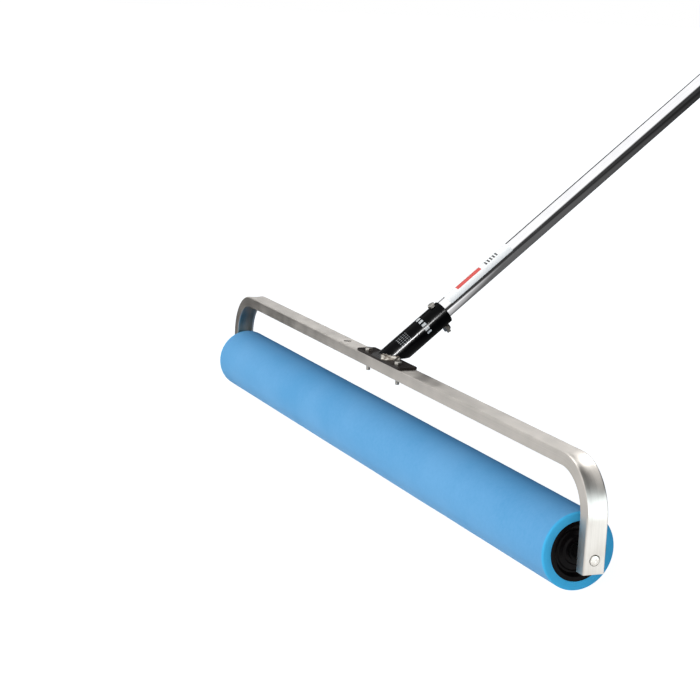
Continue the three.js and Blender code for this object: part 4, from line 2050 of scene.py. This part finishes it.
@dataclass
class Studio:
    """A pale floor, a bright surround with one dark side, and the camera."""

    floor_size: float = 60.0
    bright_side: Vector = Vector((-0.25, -0.78, 0.57)).normalized().freeze()
    soft_side: Vector = Vector((0.30, -0.88, -0.34)).normalized().freeze()
    front_light: Colour = (2.50, 2.48, 2.46)
    back_light: Colour = (0.05, 0.13, 0.22)
    sweep_radius: float = 0.80
    sweep_middle: Colour = (1.15, -0.90, 0.0)
    sweep_length: float = 2.4
    leg_spot: Colour = (0.80, -0.38, 0.0)
    flag_place: Vector = Vector((-3.0, 0.0, 1.75)).freeze()
    flag_size: Span = (2.6, 1.5)
    camera_offset: Vector = Vector((1.9291, -0.8995, 0.5187)).freeze()
    pan: float = -1.1542
    tilt: float = 0.1937
    roll: float = 0.0518
    lens: float = 96.17

    def surround(self) -> None:
        """Soft light for dull surfaces, and a bright and a dark side for shiny ones."""
        world = bpy.data.worlds.new("surround")
        world.use_nodes = True
        bpy.context.scene.world = world
        sheet = NodeSheet(world, world.node_tree.nodes["Background"])
        direction = sheet.add("TexCoord").outputs["Generated"]
        path = sheet.add("LightPath").outputs
        bright = sheet.sums("DOT_PRODUCT", direction, self.bright_side)
        mirrored = sheet.spread(bright, 0.03, 0.22, 0.045, 1.15)
        front = sheet.spread(sheet.sums("DOT_PRODUCT", direction, self.soft_side), 0.05, 0.8)
        soft = sheet.blend(front, self.back_light, self.front_light)
        level = sheet.blend(path["Is Glossy Ray"], soft, mirrored)
        level = sheet.blend(path["Is Camera Ray"], level, (1.0, 1.0, 1.0))
        sheet.use(Color=level, Strength=1.0)

    def card(self, name: str, place: Matrix, sheet: NodeSheet) -> Object:
        """A flat sheet on the stage.

        Args:
            name: Its name.
            place: Carries it from a square one metre wide to its size and place.
            sheet: Its material's nodes.

        Returns:
            The sheet.
        """
        bm = bmesh.new()
        bmesh.ops.create_grid(bm, x_segments=1, y_segments=1, size=0.5)
        bmesh.ops.transform(bm, matrix=place, verts=bm.verts)
        card = to_object(bm, name)
        card.data.materials.append(sheet.material)
        return card

    def floor(self) -> Object:
        """The pale floor. Shiny things see it as a white sheet in a dark room.

        Returns:
            The floor.
        """
        sheet = NodeSheet.start("pale_floor")
        path = sheet.add("LightPath").outputs
        mirrored = path["Is Glossy Ray"]
        edge, (x, y, _) = self.sweep_radius, self.sweep_middle
        where = sheet.place((1.0 / self.sweep_length, 1.0, 1.0))
        reach = sheet.sums("DISTANCE", where, (x / self.sweep_length, y, 0.0))
        glow = sheet.spread(reach, 0.85 * edge, 1.10 * edge, 1.0, 0.01)
        spot = sheet.sums("DISTANCE", sheet.place(), self.leg_spot)
        glow = sheet.sums("ADD", glow, sheet.spread(spot, 0.15, 0.42, 0.50, 0.0))
        beyond = sheet.spread(reach, edge, 2.2 * edge, 0.15, 0.02)
        glow = sheet.sums("MAXIMUM", glow, beyond)
        seen = sheet.blend(path["Is Camera Ray"], (0.26, 0.26, 0.26), (0.95, 0.95, 0.95))
        pale = sheet.grain(sheet.place(), 3.0, detail=2.0)
        grey = sheet.blend(pale, (0.40, 0.40, 0.40), (0.42, 0.42, 0.42))
        sheet.use(
            Base_Color=sheet.blend(mirrored, grey, (0.0, 0.0, 0.0)),
            Roughness=0.95,
            Specular_IOR_Level=0.0,
            Emission_Color=sheet.blend(mirrored, seen, glow),
            Emission_Strength=1.0,
        )
        return self.card("studio_floor", Matrix.Scale(self.floor_size, 4), sheet)

    def flag(self) -> Object:
        """A black card far to the left, which only shiny things see.

        Returns:
            The card.
        """
        sheet = NodeSheet.start("flag_cloth")
        weave = sheet.grain(sheet.place(), 60.0)
        black = sheet.blend(weave, (0.01, 0.01, 0.01), (0.03, 0.03, 0.03))
        sheet.use(Base_Color=black, Roughness=1.0)
        place = placed(self.flag_place, X_AXIS) @ Matrix.Diagonal((*self.flag_size, 1.0, 1.0))
        card = self.card("black_flag", place, sheet)
        card.visible_camera = card.visible_diffuse = card.visible_shadow = False
        return card

    def camera(self) -> Object:
        """The camera, low and to the right of the roller's end.

        Returns:
            The camera.
        """
        data = bpy.data.cameras.new("camera")
        data.sensor_width = 36.0
        data.lens = self.lens
        data.clip_start, data.clip_end = 0.05, 200.0
        camera = bpy.data.objects.new("camera", data)
        level = Vector((math.sin(self.pan), math.cos(self.pan), 0.0))
        look = level * math.cos(self.tilt) - Z_AXIS * math.sin(self.tilt)
        right = Vector((math.cos(self.pan), -math.sin(self.pan), 0.0))
        up = right.cross(look)
        turned_right = right * math.cos(self.roll) + up * math.sin(self.roll)
        turned_up = up * math.cos(self.roll) - right * math.sin(self.roll)
        axes = Matrix((turned_right, turned_up, -look)).transposed().to_4x4()
        place = node_centre("sponge_sleeve") + self.camera_offset
        camera.matrix_world = Matrix.Translation(place) @ axes
        bpy.context.scene.collection.objects.link(camera)
        bpy.context.scene.camera = camera
        return camera

    def lamps(self) -> list[Object]:
        """The soft boxes. Each lights only the pieces that it names.

        Returns:
            The lamps.
        """
        handle = HandleAxis.of_tube("pole_tube")
        socket, leg = node_centre("handle_socket"), node_centre("axle_pin_right")
        wrap = socket + handle.direction * 0.12
        web, bend = Vector((0.0, leg.y, socket.z)), Vector((leg.x - 0.04, leg.y, socket.z))
        strip_way = Vector((0.896, -0.150, 0.418)).normalized()
        boxes = (
            AreaLamp("strip_box", socket, strip_way, 2.4, (0.24, 1.1), 520.0, ("pole_socket",),
                     long_way=handle.direction),
            AreaLamp("leg_box", leg, Vector((0.62, 0.26, 0.10)), 1.0, (0.75, 0.62), 4.6,
                     ("bent_channel", "stub_pin_right"), tint=(0.84, 0.95, 1.0)),
            AreaLamp("wrap_box", wrap, Vector((-0.50, -0.62, 0.60)), 2.4, (0.6, 0.6), 26.0,
                     ("printed_wrap",), only_shines=False),
            AreaLamp("web_box", web, Vector((-0.85, 0.40, 0.40)), 2.6, (1.5, 0.9), 6.0,
                     ("bent_channel",)),
            AreaLamp("bend_box", bend, Vector((-0.40, 0.40, 0.80)), 1.5, (0.75, 0.60), 6.5,
                     ("bent_channel",)),
        )
        return [box.build() for box in boxes]

    def build(self) -> None:
        """Sets the stage up."""
        bpy.context.scene.view_settings.view_transform = "Standard"
        self.surround()
        self.floor()
        self.flag()
        self.camera()
        LOG.info("stage set with %d lamps", len(self.lamps()))


def main() -> None:
    """Builds every sub-assembly in order and sets the stage."""
    logging.basicConfig(level=logging.INFO, format="%(name)s: %(message)s", stream=sys.stdout)
    handle = HandleAxis.of_tube("pole_tube")
    FoamSleeve().build()
    CorePipe().build()
    for side in Side:
        RollerEnd(side).build()
        AxleEnd(side).build()
    ChannelFrame().build()
    Bracket(handle.moved_forward(-POLE_OFFSET), HexHardware()).build()
    Handle(handle).build()
    Studio().build()


if __name__ == "__main__":
    main()
